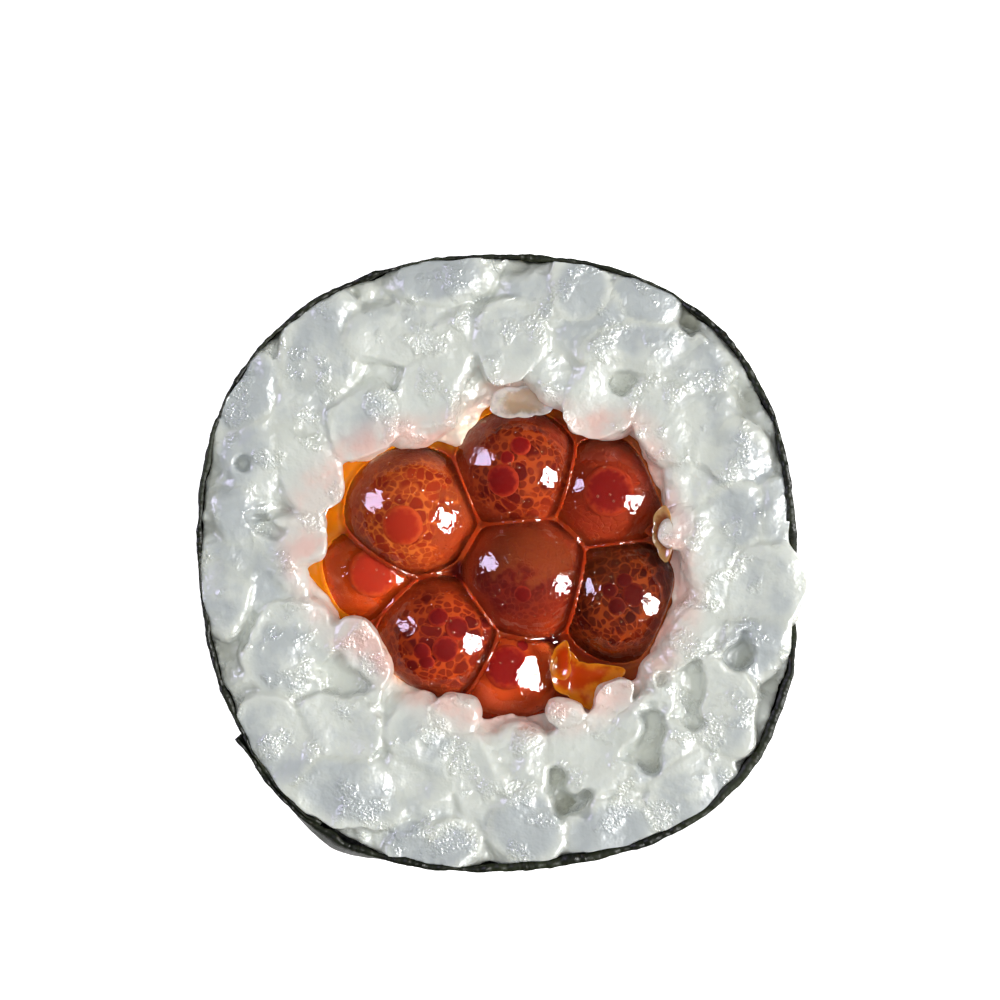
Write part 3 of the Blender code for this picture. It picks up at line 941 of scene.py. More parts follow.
def lofted(name: str, rings: Array, closed: bool) -> Mesh:
    """Skins a body over rings of points, with its ends capped, or joined to each other if closed.

    Args:
        name: The mesh's name.
        rings: Points by ring, point and axis.
        closed: Whether the last ring joins the first.

    Returns:
        The mesh.
    """
    rows, count = rings.shape[:2]
    faces = []
    for start in range(rows if closed else rows - 1):
        a, b = start * count, (start + 1) % rows * count
        faces += [(a + i, a + (i + 1) % count, b + (i + 1) % count, b + i) for i in range(count)]
    if not closed:
        faces += [tuple(range(count)), tuple(range((rows - 1) * count, rows * count))]
    return mesh_from(name, rings.reshape(-1, 3), faces)


def points_of(mesh: Mesh) -> Array:
    """Reads a mesh's points.

    Args:
        mesh: The mesh.

    Returns:
        The points, one a row.
    """
    places = np.empty(len(mesh.vertices) * 3, np.float32)
    mesh.vertices.foreach_get("co", places)
    return places.reshape(-1, 3).astype(float)


def taken_apart(mesh: Mesh) -> Shell:
    """Reads a mesh and removes it.

    Args:
        mesh: The mesh.

    Returns:
        Its points and faces.
    """
    shell = points_of(mesh), [tuple(face.vertices) for face in mesh.polygons]
    bpy.data.meshes.remove(mesh)
    return shell


def stacked(shells: list[Shell]) -> Shell:
    """Puts several shells into one.

    Args:
        shells: The points and faces of each.

    Returns:
        The points and faces of all.
    """
    faces, count = [], 0
    for points, corners in shells:
        faces += [tuple(index + count for index in face) for face in corners]
        count += len(points)
    return np.vstack([points for points, _ in shells]), faces


def set_points(mesh: Mesh, places: Array) -> None:
    """Moves a mesh's points."""
    mesh.vertices.foreach_set("co", places.astype(np.float32).ravel())
    mesh.update()


def set_value(mesh: Mesh, name: str, values: Array) -> None:
    """Keeps one value at each point of a mesh."""
    attribute = mesh.attributes.new(name, "FLOAT", "POINT")
    attribute.data.foreach_set("value", values.astype(np.float32))


class Workbench:
    """Runs modifiers on meshes in millimetres and puts finished pieces into the frame."""

    def __init__(self, shift: Vector) -> None:
        """Keeps how far the frame's origin lies from the roll's middle, in millimetres."""
        self.shift = shift
        self.trees = {"scatter": self.scatter_tree(), "relief": self.relief_tree(), "beads": self.bead_tree()}

    @staticmethod
    def ended(graph: Graph, geometry: object, material: Socket) -> Tree:
        """Ends a geometry tree: its instances are made real and take their material.

        Args:
            graph: The tree's graph.
            geometry: What the tree has built.
            material: The tree's material input.

        Returns:
            The tree.
        """
        real = graph.node("GeometryNodeRealizeInstances", {"Geometry": geometry})
        dressed = graph.node("GeometryNodeSetMaterial", {"Geometry": real, "Material": material})
        graph.node("NodeGroupOutput", {"Geometry": dressed})
        return graph.tree

    def scatter_tree(self) -> Tree:
        """Builds the tree that sets a shape on each point, turned and scaled by the point's own values.

        Returns:
            The tree.
        """
        inputs = {"Points": ("Geometry", None), "Shape": ("Object", None), "Material": ("Material", None)}
        graph, given = new_group("scatter_shapes", "GeometryNodeTree", inputs, {"Geometry": "Geometry"})
        shape = graph.node("GeometryNodeObjectInfo", {"Object": given.outputs["Shape"]}).outputs["Geometry"]
        turn, size = (
            graph.node("GeometryNodeInputNamedAttribute", {"Name": name}, data_type="FLOAT_VECTOR")
            for name in ("turn", "size")
        )
        spin = graph.node("FunctionNodeEulerToRotation", {"Euler": turn.outputs[0]})
        inputs = {"Points": given.outputs["Points"], "Instance": shape, "Rotation": spin, "Scale": size.outputs[0]}
        return self.ended(graph, graph.node("GeometryNodeInstanceOnPoints", inputs), given.outputs["Material"])

    def relief_tree(self) -> Tree:
        """Builds the tree that lifts and sinks a surface in soft lumps of two sizes.

        Returns:
            The tree.
        """
        inputs = {
            "Geometry": ("Geometry", None),
            "Lump Size": ("Float", 1.5),
            "Lump Height": ("Float", 0.1),
            "Fine Size": ("Float", 0.5),
            "Fine Height": ("Float", 0.03),
            "Material": ("Material", None),
        }
        graph, given = new_group("soft_relief", "GeometryNodeTree", inputs, {"Geometry": "Geometry"})
        place = graph.node("GeometryNodeInputPosition")
        lifts = []
        for label in ("Lump", "Fine"):
            scale = graph.math("DIVIDE", 1.0, given.outputs[f"{label} Size"])
            lumps = graph.node("ShaderNodeTexNoise", {"Vector": place, "Scale": scale, "Detail": 1.0}).outputs[0]
            span = graph.times(given.outputs[f"{label} Height"], 2.0)
            lifts.append(graph.times(graph.minus(lumps, 0.5), span))
        offset = graph.vector("SCALE", graph.node("GeometryNodeInputNormal"), scale=graph.add(*lifts))
        inputs = {"Geometry": given.outputs["Geometry"], "Offset": offset}
        return self.ended(graph, graph.node("GeometryNodeSetPosition", inputs), given.outputs["Material"])

    def bead_tree(self) -> Tree:
        """Builds the tree that scatters small flattened beads over a surface.

        Returns:
            The tree.
        """
        inputs = {
            "Surface": ("Geometry", None),
            "Density": ("Float", 2.0),
            "Least Distance": ("Float", 0.2),
            "Least Radius": ("Float", 0.03),
            "Largest Radius": ("Float", 0.08),
            "Seed": ("Int", 3),
            "Material": ("Material", None),
        }
        graph, given = new_group("juice_beads", "GeometryNodeTree", inputs, {"Geometry": "Geometry"})
        inputs = {
            "Mesh": given.outputs["Surface"],
            "Distance Min": given.outputs["Least Distance"],
            "Density Max": given.outputs["Density"],
            "Seed": given.outputs["Seed"],
        }
        spread = graph.node("GeometryNodeDistributePointsOnFaces", inputs, distribute_method="POISSON")
        bead = graph.node("GeometryNodeMeshIcoSphere", {"Radius": 1.0, "Subdivisions": 2})
        flat = graph.node("GeometryNodeTransform", {"Geometry": bead.outputs["Mesh"], "Scale": (1.0, 1.0, 0.6)})
        inputs = {"Seed": given.outputs["Seed"]}
        size = graph.node("FunctionNodeRandomValue", inputs, data_type="FLOAT")
        graph.feed(size.inputs[2], given.outputs["Least Radius"])
        graph.feed(size.inputs[3], given.outputs["Largest Radius"])
        inputs = {
            "Points": spread.outputs["Points"],
            "Instance": flat,
            "Rotation": spread.outputs["Rotation"],
            "Scale": size.outputs[1],
        }
        return self.ended(graph, graph.node("GeometryNodeInstanceOnPoints", inputs), given.outputs["Material"])

    @staticmethod
    def placed(name: str, mesh: Mesh) -> Body:
        """Puts a mesh into the scene as an object.

        Args:
            name: The object's name.
            mesh: Its mesh.

        Returns:
            The object.
        """
        body = bpy.data.objects.new(name, mesh)
        bpy.context.scene.collection.objects.link(body)
        return body

    @staticmethod
    def evaluated(body: Body) -> Mesh:
        """Applies a body's modifiers and removes the body.

        Args:
            body: The body.

        Returns:
            A plain mesh as the modifiers leave it.
        """
        mesh = bpy.data.meshes.new_from_object(body.evaluated_get(bpy.context.evaluated_depsgraph_get()))
        bpy.data.objects.remove(body)
        return mesh

    def run_tree(self, mesh: Mesh, tree: str, values: dict) -> Mesh:
        """Runs one of the geometry trees on a mesh.

        Args:
            mesh: What the tree's first input takes.
            tree: The tree's short name.
            values: What its other inputs take, by name.

        Returns:
            The result as a plain mesh.
        """
        body = self.placed(mesh.name, mesh)
        modifier = body.modifiers.new(tree, "NODES")
        modifier.node_group = self.trees[tree]
        for item in self.trees[tree].interface.items_tree:
            if item.in_out == "INPUT" and item.name in values:
                modifier[item.identifier] = values[item.name]
        return self.evaluated(body)

    def melted(self, mesh: Mesh, voxel: float, rounds: int) -> Mesh:
        """Joins the shells of a mesh into one skin and softens it.

        Args:
            mesh: Overlapping closed shells.
            voxel: Size of the new skin's faces.
            rounds: How often the skin is smoothed.

        Returns:
            The new skin.
        """
        body = self.placed(mesh.name, mesh)
        remesh = body.modifiers.new("melt", "REMESH")
        remesh.mode = "VOXEL"
        remesh.voxel_size = voxel
        soften = body.modifiers.new("soften", "SMOOTH")
        soften.factor = 0.5
        soften.iterations = rounds
        return self.evaluated(body)

    def finished(self, name: str, mesh: Mesh, material: Material) -> Body:
        """Puts a mesh into the frame as a finished piece that rides on the roll's body.

        Args:
            name: The piece's name.
            mesh: Its mesh in millimetres.
            material: Its material.

        Returns:
            The piece.
        """
        mesh.materials.clear()
        mesh.materials.append(material)
        mesh.transform(Matrix.Scale(MILLIMETRE, 4) @ Matrix.Translation(self.shift))
        mesh.shade_smooth()
        mesh.name = name
        piece = self.placed(name, mesh)
        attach(piece, ROOT)
        LOG.info("%s: %d triangles", name, sum(len(face.vertices) - 2 for face in mesh.polygons))
        return piece


@dataclass
class Grain:
    """One grain of rice: its middle, its sizes and how it lies."""

    centre: Array
    length: float
    width: float
    depth: float
    turn: float
    pitch: float
    roll: float
    stands_out: bool = False
    named: bool = False
    plump: float = 2.6
    oval: ClassVar[float] = 2.3
    flat_top: ClassVar[float] = 3.4
    grown_outstanding: ClassVar[float] = 0.37
    grown_named: ClassVar[float] = 0.145
    grown: ClassVar[float] = 0.05

    def spin(self) -> Array:
        """Gives the turn of the grain as a matrix."""
        return np.array(Euler((self.roll, self.pitch, self.turn)).to_matrix())

    def half(self) -> Array:
        """Gives the grain's half-sizes."""
        return np.array((self.length, self.width, self.depth)) / 2

    def drawn_half(self) -> Array:
        """Gives the half-sizes that leave the grain's own after its skin is softened."""
        grown = self.grown_named if self.named else self.grown
        return self.half() + (self.grown_outstanding if self.stands_out else grown)

    def points(self, directions: Array) -> Array:
        """Gives points on the grain's surface in these directions of its own."""
        plump = (np.abs(directions) ** self.plump).sum(axis=1) ** (1 / self.plump)
        return self.centre + (directions / plump[:, None] * self.half()) @ self.spin().T

    @classmethod
    def squareness(cls, local: Array) -> Array:
        """Gives 1 on the surface of a grain that is oval from above and flat on top, and less inside it."""
        across = (np.abs(local[:, :2]) ** cls.oval).sum(axis=1) ** (1 / cls.oval)
        return (across**cls.flat_top + np.abs(local[:, 2]) ** cls.flat_top) ** (1 / cls.flat_top)

    def depth_in(self, places: Array) -> Array:
        """Gives 0 at the grain's middle and 1 on its surface for each place."""
        return self.squareness((places - self.centre) @ self.spin() / self.half())


@dataclass
class RiceHeap:
    """The rice between the seaweed and the roe: both crusts of grains and the body behind them."""

    roll: Roll
    clutches: dict[Face, Clutch]
    bench: Workbench
    finish: RiceFinish = RiceFinish()
    gap: float = 0.3
    grain_length: tuple[float, float] = (4.5, 6.4)
    grain_width: tuple[float, float] = (3.2, 4.1)
    grain_depth: tuple[float, float] = (2.8, 3.2)
    top_grains: int = 27
    foot_grains: int = 46
    tries: int = 90
    seed: int = 11
    filling_level: float = 20.7
    skin_centre: Spot = (4.35, -5.7, 22.1)
    skin_radius: float = 1.25
    step_out: float = 0.15
    most_steps: int = 16
    crust: float = 3.6
    ledge: float = 1.25
    bed_lumps: float = 0.8
    # Strength of the painted shade in the creases between grains, which also sets their bump depth.
    crease: float = 0.3
    cut_depth: float = 0.5
    cut_waves: float = 0.45
    cut_softness: float = 0.05
    shelf_drop: float = 0.9
    between_drop: float = 0.15
    warp: float = 0.55
    warp_size: float = 2.2
    press: float = 0.05
    behind_sheet: float = 0.03
    pockets: tuple[tuple[float, float, float, float], ...] = (
        (7.3, -9.2, 1.1, 2.2),
        (9.2, -6.4, 1.3, 1.5),
        (11.8, -4.6, 0.8, 2.3),
        (3.4, -11.8, 1.0, 2.2),
        (6.0, 8.7, 0.8, 1.5),
        (-8.0, -5.6, 1.3, 1.5),
        (9.2, 12.2, 0.7, 1.8),
        (-12.8, 5.1, 0.4, 1.5),
        (-11.8, 2.2, 0.8, 1.3),
    )
    pocket_share: float = 0.55
    voxel: float = 0.147
    foot_voxel: float = 0.19
    under_grains: int = 70
    under_length: tuple[float, float] = (3.0, 4.4)
    under_width: tuple[float, float] = (2.0, 2.8)
    under_depth: tuple[float, float] = (1.8, 2.4)
    under_drop: tuple[float, float] = (1.0, 1.7)
    bed_columns: int = 480
    bed_rings: int = 60
    edge_span: tuple[float, float, int] = (5.0, 12.0, 281)
    landmarks: tuple[tuple[float, ...], ...] = (
        (13.15, -1.3, 4.4, 4.0, 80, 0.0),
        (14.1, 2.7, 4.2, 3.0, 80, -0.4),
        (10.2, 7.2, 4.5, 3.9, 100, -0.3),
        (7.4, 13.1, 4.3, 3.3, -20, -0.5),
        (7.0, 10.7, 6.8, 3.3, 0, -0.2),
        (4.0, 13.8, 4.2, 3.0, 88, 0.0),
        (4.6, 7.3, 4.8, 3.8, 65, 0.0),
        (0.5, 11.2, 4.0, 3.6, 30, -0.1),
        (-3.0, 14.3, 5.4, 3.2, 6, -0.5),
        (-9.0, 10.6, 6.6, 4.1, 75, -0.4),
        (-12.7, 8.4, 5.2, 3.2, 62, -0.3),
        (-6.6, 6.9, 4.0, 3.2, 35, -0.1),
        (-10.7, 1.2, 3.5, 3.0, 10, -0.1),
        (-13.9, -1.5, 4.2, 3.2, 88, -0.3),
        (-10.6, -4.2, 5.6, 4.4, 68, -0.2),
        (-11.2, -9.0, 5.4, 4.1, 125, 0.0),
        (-6.8, -5.4, 4.2, 3.0, 120, -0.6),
        (-7.5, -11.3, 6.6, 4.0, -10, -0.2),
        (-3.5, -14.2, 5.6, 3.2, -6, -0.6),
        (1.4, -13.1, 4.6, 4.0, 130, -0.1),
        (5.5, -13.4, 5.3, 3.4, 14, -0.2),
        (4.5, -9.9, 5.0, 3.8, 5, 0.0),
        (9.6, -11.5, 5.2, 3.9, 35, 0.0),
        (11.1, -7.2, 5.4, 3.7, 103, 0.0),
    )
    lobes: tuple[tuple[float, ...], ...] = (
        (-6.9, -4.6, 3.7, 2.4, -62),
        (5.75, -6.7, 1.7, 1.6, 0),
        (6.8, -8.0, 2.1, 1.9, 30),
        (7.9, -7.1, 2.5, 1.6, 60),
        (3.3, -7.5, 1.9, 1.5, 0),
        (5.1, -7.9, 1.7, 1.4, 40),
        (-2.3, -7.7, 2.7, 1.9, 12),
        (9.0, 1.8, 2.4, 1.7, 80),
    )

    @staticmethod
    def facets() -> Shell:
        """Gives the faceted grain that is tested against the roe.

        Returns:
            Its directions and faces.
        """
        shape = bmesh.new()
        bmesh.ops.create_uvsphere(shape, u_segments=6, v_segments=4, radius=1.0)
        shape.verts.index_update()
        directions = np.array([(vertex.co.z, vertex.co.x, vertex.co.y) for vertex in shape.verts])
        faces = [[vertex.index for vertex in face.verts] for face in shape.faces]
        shape.free()
        return directions, faces

    def clear_of_roe(self, grain: Grain) -> bool:
        """Says whether a grain of the upper face stays clear of the eggs, the filling and the torn skin.

        Args:
            grain: The grain.

        Returns:
            Whether it does.
        """
        directions, faces = self.facets()
        points = grain.points(directions)
        middles = np.array([points[face].mean(axis=0) for face in faces])
        edges = np.array([(points[face[i - 1]] + points[face[i]]) / 2 for face in faces for i in range(len(face))])
        places = np.vstack((points, middles, edges))
        to_skin = np.linalg.norm(places - np.array(self.skin_centre), axis=1)
        if (to_skin < self.skin_radius + 2.5 * self.gap).any():
            return False
        inside = self.roll.hole_gap(places[:, 0], places[:, 1]) <= 0.1
        if (inside & (places[:, 2] < self.filling_level + self.gap)).any():
            return False
        return not inside.any() or not self.clutches[Face.UPPER].meets(places[inside], self.gap)

    def moved_clear(self, grain: Grain) -> Grain | None:
        """Moves a grain outwards until it is clear of the roe.

        Args:
            grain: The grain.

        Returns:
            The moved grain, or None if it would go too far.
        """
        outward = grain.centre - np.array((*self.roll.hole_centre, grain.centre[2]))
        outward = outward / np.linalg.norm(outward)
        for _ in range(self.most_steps):
            if self.clear_of_roe(grain):
                return grain
            grain.centre = grain.centre + outward * self.step_out
        return None

    def landmark_grains(self) -> list[Grain]:
        """Gives the grains that stand out in the photo, in their places.

        Returns:
            The grains, with the one that stands furthest out of the roll first.
        """
        draw = random.Random(self.seed)
        grains = []
        for x, y, length, width, turn, lift in self.landmarks:
            depth = draw.uniform(*self.grain_depth)
            pitch, roll = math.radians(draw.uniform(-6, 6)), math.radians(draw.uniform(-8, 8))
            centre = np.array((x, y, self.roll.height - depth / 2 + lift))
            grains.append(Grain(centre, length, width, depth, math.radians(turn), pitch, roll, not grains, True))
        return grains

    def spread(self, grains: list[Grain], count: int, upper: bool, seed: int) -> list[Grain]:
        """Adds grains where there is most room between the hole and the sheet, the largest first.

        Args:
            grains: The grains that lie there already. The new ones are added to this list.
            count: How many to add.
            upper: Whether they lie in the upper cut face.
            seed: Seed of the draws.

        Returns:
            The list.
        """
        draw = random.Random(seed)
        tilt = 10 if upper else 4
        for index in range(count):
            share = 1 - index / count
            span = self.grain_length[1] - self.grain_length[0]
            length = self.grain_length[0] + share * span + draw.uniform(-0.4, 0.4)
            width, depth = draw.uniform(*self.grain_width), draw.uniform(*self.grain_depth)
            best, best_room = None, -1.0
            for _ in range(self.tries):
                angle = draw.uniform(0, math.tau)
                inner = float(self.roll.hole_edge(np.array([angle]))[0]) + 0.7
                limit = self.roll.solid_rice_limit(angle, self.roll.height)
                outer = float(limit) - width * 0.3
                radius = math.sqrt(inner**2 + draw.random() * (outer**2 - inner**2))
                x, y = radius * math.cos(angle), radius * math.sin(angle)
                shares = [
                    4 * math.hypot(x - grain.centre[0], y - grain.centre[1])
                    / (length + width + grain.length + grain.width)
                    for grain in grains
                ]
                room = min(shares, default=9.0)
                if room > best_room:
                    best, best_room = (x, y, angle, (radius - inner) / (outer - inner)), room
            x, y, angle, outwards = best
            along = angle + math.pi / 2 + draw.gauss(0, 0.35 + 0.9 * (1 - outwards))
            lift = draw.uniform(0.0, 0.6 if upper else 0.35)
            height = self.roll.height - depth / 2 - lift if upper else depth / 2 - 0.5 + lift
            pitch, roll = math.radians(draw.uniform(-tilt, tilt)), math.radians(draw.uniform(-tilt, tilt))
            grains.append(Grain(np.array((x, y, height)), length, width, depth, along, pitch, roll))
        return grains

    def under_layer(self, upper: bool) -> list[Grain]:
        """Gives smaller grains that lie deeper and show in the pockets between the others.

        Args:
            upper: Whether they lie under the upper cut face.

        Returns:
            The grains.
        """
        draw = random.Random(self.seed + (7 if upper else 8))
        grains = []
        for _ in range(self.under_grains):
            angle = draw.uniform(0, math.tau)
            inner = float(self.roll.hole_edge(np.array([angle]))[0]) + 1.5
            outer = float(self.roll.rice_limit(angle, self.roll.height)) - 1.4
            radius = math.sqrt(inner**2 + draw.random() * (outer**2 - inner**2))
            depth = draw.uniform(*self.under_depth)
            drop = depth / 2 + draw.uniform(*self.under_drop)
            height = self.roll.height - drop if upper else drop
            centre = np.array((radius * math.cos(angle), radius * math.sin(angle), height))
            length, width = draw.uniform(*self.under_length), draw.uniform(*self.under_width)
            turn, pitch, roll = draw.uniform(0, math.tau), draw.gauss(0, 0.25), draw.gauss(0, 0.25)
            grains.append(Grain(centre, length, width, depth, turn, pitch, roll))
        return grains

    def grain_shells(self, grains: list[Grain], material: Material) -> Shell:
        """Sets the grain's model on every place, bends each grain a little and keeps it inside the sheet.

        Args:
            grains: The grains.
            material: The rice's material.

        Returns:
            The points and faces of all grains.
        """
        directions, faces = ball(4)
        model = mesh_from("grain", directions / Grain.squareness(directions)[:, None], faces)
        model = bpy.data.objects.new("grain", model)
        spots = bpy.data.meshes.new("grain_places")
        spots.from_pydata([tuple(grain.centre) for grain in grains], [], [])
        for name, rows in (
            ("turn", [(grain.roll, grain.pitch, grain.turn) for grain in grains]),
            ("size", [grain.drawn_half() for grain in grains]),
        ):
            values = spots.attributes.new(name, "FLOAT_VECTOR", "POINT")
            values.data.foreach_set("vector", np.array(rows, np.float32).ravel())
        heap = self.bench.run_tree(spots, "scatter", {"Shape": model, "Material": material})
        bpy.data.objects.remove(model)
        places, faces = taken_apart(heap)
        owner = np.repeat(np.arange(len(grains)), len(directions))
        noise.seed_set(self.seed)
        samples = places / self.warp_size
        samples[:, 2] += 5.3 * owner
        places += self.warp * np.array([noise.noise_vector(Vector(sample)) for sample in samples])
        free = np.array([grain.stands_out for grain in grains])[owner]
        return self.drawn_in(places, free, 0.0), faces

    def drawn_in(self, places: Array, free: Array, gap: float) -> Array:
        """Draws points back behind the sheet.

        Args:
            places: The points, one a row. They are changed.
            free: Which of them may stay outside.
            gap: How far behind it the others stay.

        Returns:
            The points.
        """
        angle, radius = polar(places)
        limit = self.roll.rice_limit(angle, places[:, 2]) - gap
        places[:, :2] *= np.where(free, 1.0, np.minimum(1.0, limit / radius))[:, None]
        return places

    def kept_in(self, places: Array) -> Array:
        """Draws points back behind the sheet, past its dip under the grain that stands out.

        Args:
            places: The points, which are moved.

        Returns:
            The points.
        """
        turned = np.abs(np.mod(polar(places)[0] - Seaweed.dip_at + math.pi, math.tau) - math.pi)
        free = (turned < Seaweed.dip_arc) & (places[:, 2] > Seaweed.top - Seaweed.dip)
        return self.drawn_in(places, free, self.behind_sheet)

    def ring_body(self, low: float, high: float, columns: int, rows: int) -> Shell:
        """Builds the ring of rice behind the grains.

        Args:
            low: Its foot.
            high: Its top.
            columns: Its points round the roll.
            rows: Its points up the outside.

        Returns:
            Its points and faces.
        """
        angles = np.linspace(0, math.tau, columns, endpoint=False)
        heights = np.linspace(low, high, rows)
        rings = []
        for angle, edge in zip(angles, self.roll.hole_edge(angles) + 0.25):
            outer = self.roll.rice_limit(angle, heights) - 0.1
            radii = np.concatenate((outer, [edge, edge]))
            levels = np.concatenate((heights, [high, low]))
            rings.append(np.stack((radii * math.cos(angle), radii * math.sin(angle), levels), axis=1))
        return taken_apart(lofted("ring", np.array(rings), True))

    def bed_height(self, x: Array, y: Array) -> Array:
        """Gives the height of the mashed rice between the grains of a cut face.

        Args:
            x: The X of each place.
            y: The Y of each place.

        Returns:
            The height at each place.
        """
        lumps = noise_at(x * 0.6, y * 0.6, 4.0) + 0.5 * noise_at(x * 1.5, y * 1.5, 9.0)
        drop = 1 - smoothstep(self.roll.edge_gap(x, y) / 1.6)
        height = np.minimum(self.roll.height - self.ledge + self.bed_lumps * lumps, self.roll.height)
        return height - self.shelf_drop * drop

    def bed(self, upper: bool) -> Shell:
        """Builds the mashed rice that the grains of one cut face lie in.

        Args:
            upper: Whether it is the upper face.

        Returns:
            Its points and faces.
        """
        low = self.roll.height - self.crust
        walls = np.linspace(low, self.roll.height - self.ledge, 6)[:-1]
        shares = np.linspace(1, 0, self.bed_rings)
        rings = []
        for angle in np.linspace(0, math.tau, self.bed_columns, endpoint=False):
            outward = np.array((math.cos(angle), math.sin(angle)))
            limit = float(self.roll.rice_limit(angle, self.roll.height)) - 0.05
            inner = self.edge_reach(angle)
            flat = outward * (inner + (limit - inner) * shares)[:, None]
            tops = self.bed_height(flat[:, 0], flat[:, 1])
            wall_radii = self.roll.rice_limit(angle, walls) - 0.1
            wall = np.column_stack((outward * wall_radii[:, None], walls))
            foot = np.array([[*(outward * inner), low]])
            rings.append(np.vstack((wall, np.column_stack((flat, tops)), foot)))
        places, faces = taken_apart(lofted("bed", np.array(rings), True))
        if not upper:
            places[:, 2] = self.roll.height - places[:, 2]
        return places, faces

    def edge_reach(self, angle: float) -> float:
        """Finds where the rice ends over the roe.

        Args:
            angle: Where round the roll.

        Returns:
            The radius from the roll's middle.
        """
        radii = np.linspace(*self.edge_span)
        x, y = math.cos(angle), math.sin(angle)
        gaps = self.roll.edge_gap(radii * x, radii * y)
        ragged = 1.2 * noise.noise(Vector((x * 2.8, y * 2.8, 2.0))) + 0.35 * noise.noise(Vector((x * 8, y * 8, 6.0)))
        return float(radii[np.argmax(gaps > ragged)])

    def cut_flush(self, places: Array, upper: bool) -> Array:
        """Flattens the grains where the knife went through them, and sinks the pockets between them.

        Args:
            places: The crust's points, one a row. They are changed.
            upper: Whether it is the upper crust.

        Returns:
            The points.
        """
        height = places[:, 2] if upper else self.roll.height - places[:, 2]
        lumps = noise_at(places[:, 0] * 0.45, places[:, 1] * 0.45, 5.5 + upper)
        cut = self.roll.height - self.cut_depth + self.cut_waves * lumps
        soft = -self.cut_softness * np.logaddexp(-height / self.cut_softness, -cut / self.cut_softness)
        for px, py, radius, depth in self.pockets:
            x, y = places[:, 0] - px, places[:, 1] - py
            near = np.nonzero((np.hypot(x, y) < 2.5 * radius) & (height > self.crust))[0]
            ragged = noise_at(x[near] * 0.9, y[near] * 0.9, px)
            away = np.hypot(x[near], y[near]) / radius + 1.5 * ragged
            soft[near] -= self.pocket_share * depth * (1 - smoothstep((away - 0.45) / 0.55))
        places[:, 2] = soft if upper else self.roll.height - soft
        return places

    def pressed_by_roe(self, places: Array, clutch: Clutch) -> Array:
        """Moves points that lie in an egg out onto its surface.

        Args:
            places: The points, one a row. They are changed.
            clutch: The eggs.

        Returns:
            The points.
        """
        for egg in clutch.eggs:
            offsets = places - np.array(egg.centre)
            lengths = np.linalg.norm(offsets, axis=1)
            near = np.nonzero(lengths < max(egg.half) + self.press)[0]
            if not len(near):
                continue
            directions = offsets[near] / lengths[near][:, None]
            reach = clutch.reach(egg, directions, Roe.gap, Roe.sharpness) + self.press
            inside = lengths[near] < reach
            places[near[inside]] = np.array(egg.centre) + directions[inside] * reach[inside][:, None]
        return places

    def keep_values(self, mesh: Mesh, grains: list[Grain], upper: bool) -> None:
        """Keeps what the rice's finish reads at each point of a crust.

        Args:
            mesh: The crust.
            grains: Its grains.
            upper: Whether it is the upper crust.
        """
        places = points_of(mesh)
        draw = random.Random(self.seed + 21)
        depths = np.stack([grain.depth_in(places) for grain in grains])
        weights = np.exp(-9 * (depths - depths.min(axis=0)))
        tones = np.array([draw.uniform(-0.5, 0.5) for _ in grains])
        set_value(mesh, "tone", (weights * tones[:, None]).sum(axis=0) / weights.sum(axis=0))
        # Painted shade mask: high where two grains meet, where the finish darkens the rice.
        first, second = np.partition(depths, 1, axis=0)[:2]
        set_value(mesh, "crease", self.crease * (1 - smoothstep((second - first) / 0.16)) * (first < 1.15))
        owner = depths.argmin(axis=0)
        across = np.zeros(len(places))
        for index, grain in enumerate(grains):
            own = owner == index
            local = (places[own] - grain.centre) @ grain.spin() / grain.half()
            across[own] = np.hypot(local[:, 0], local[:, 1])
        set_value(mesh, "heart", 1 - smoothstep((across - 0.62) / 0.32))
        # Painted shade mask: rice sunk below the cut face, away from the roe, is painted darker.
        sunk = self.roll.height - places[:, 2] if upper else places[:, 2]
        beyond = self.roll.edge_gap(places[:, 0], places[:, 1]) - 0.9
        set_value(mesh, "depth", 0.9 * smoothstep((sunk - 1.0) / 1.3) * smoothstep(beyond + 0.5))
        set_value(mesh, "blush", 0.5 * (1 - smoothstep((beyond + 0.9) / 1.8)))
        angle, radius = polar(places)
        set_value(mesh, "outer", 1 - smoothstep((self.roll.outside(angle) - radius - 0.5) / 5.0))

    def top_layer(self, upper: bool) -> list[Grain]:
        """Gives the grains that a cut face shows.

        Args:
            upper: Whether it is the upper face.

        Returns:
            The grains, clear of the roe.
        """
        if not upper:
            return self.clear_ones(self.spread([], self.foot_grains, False, self.seed + 2))
        grains = self.clear_ones(self.landmark_grains())
        grains = self.clear_ones(self.spread(grains, self.top_grains, True, self.seed + 1))
        for grain in grains:
            grain.centre[2] -= 0.0 if grain.named else self.between_drop
        return grains

    def clear_ones(self, grains: list[Grain]) -> list[Grain]:
        """Gives those grains that can be moved clear of the roe, in their new places."""
        return [grain for grain in map(self.moved_clear, grains) if grain]

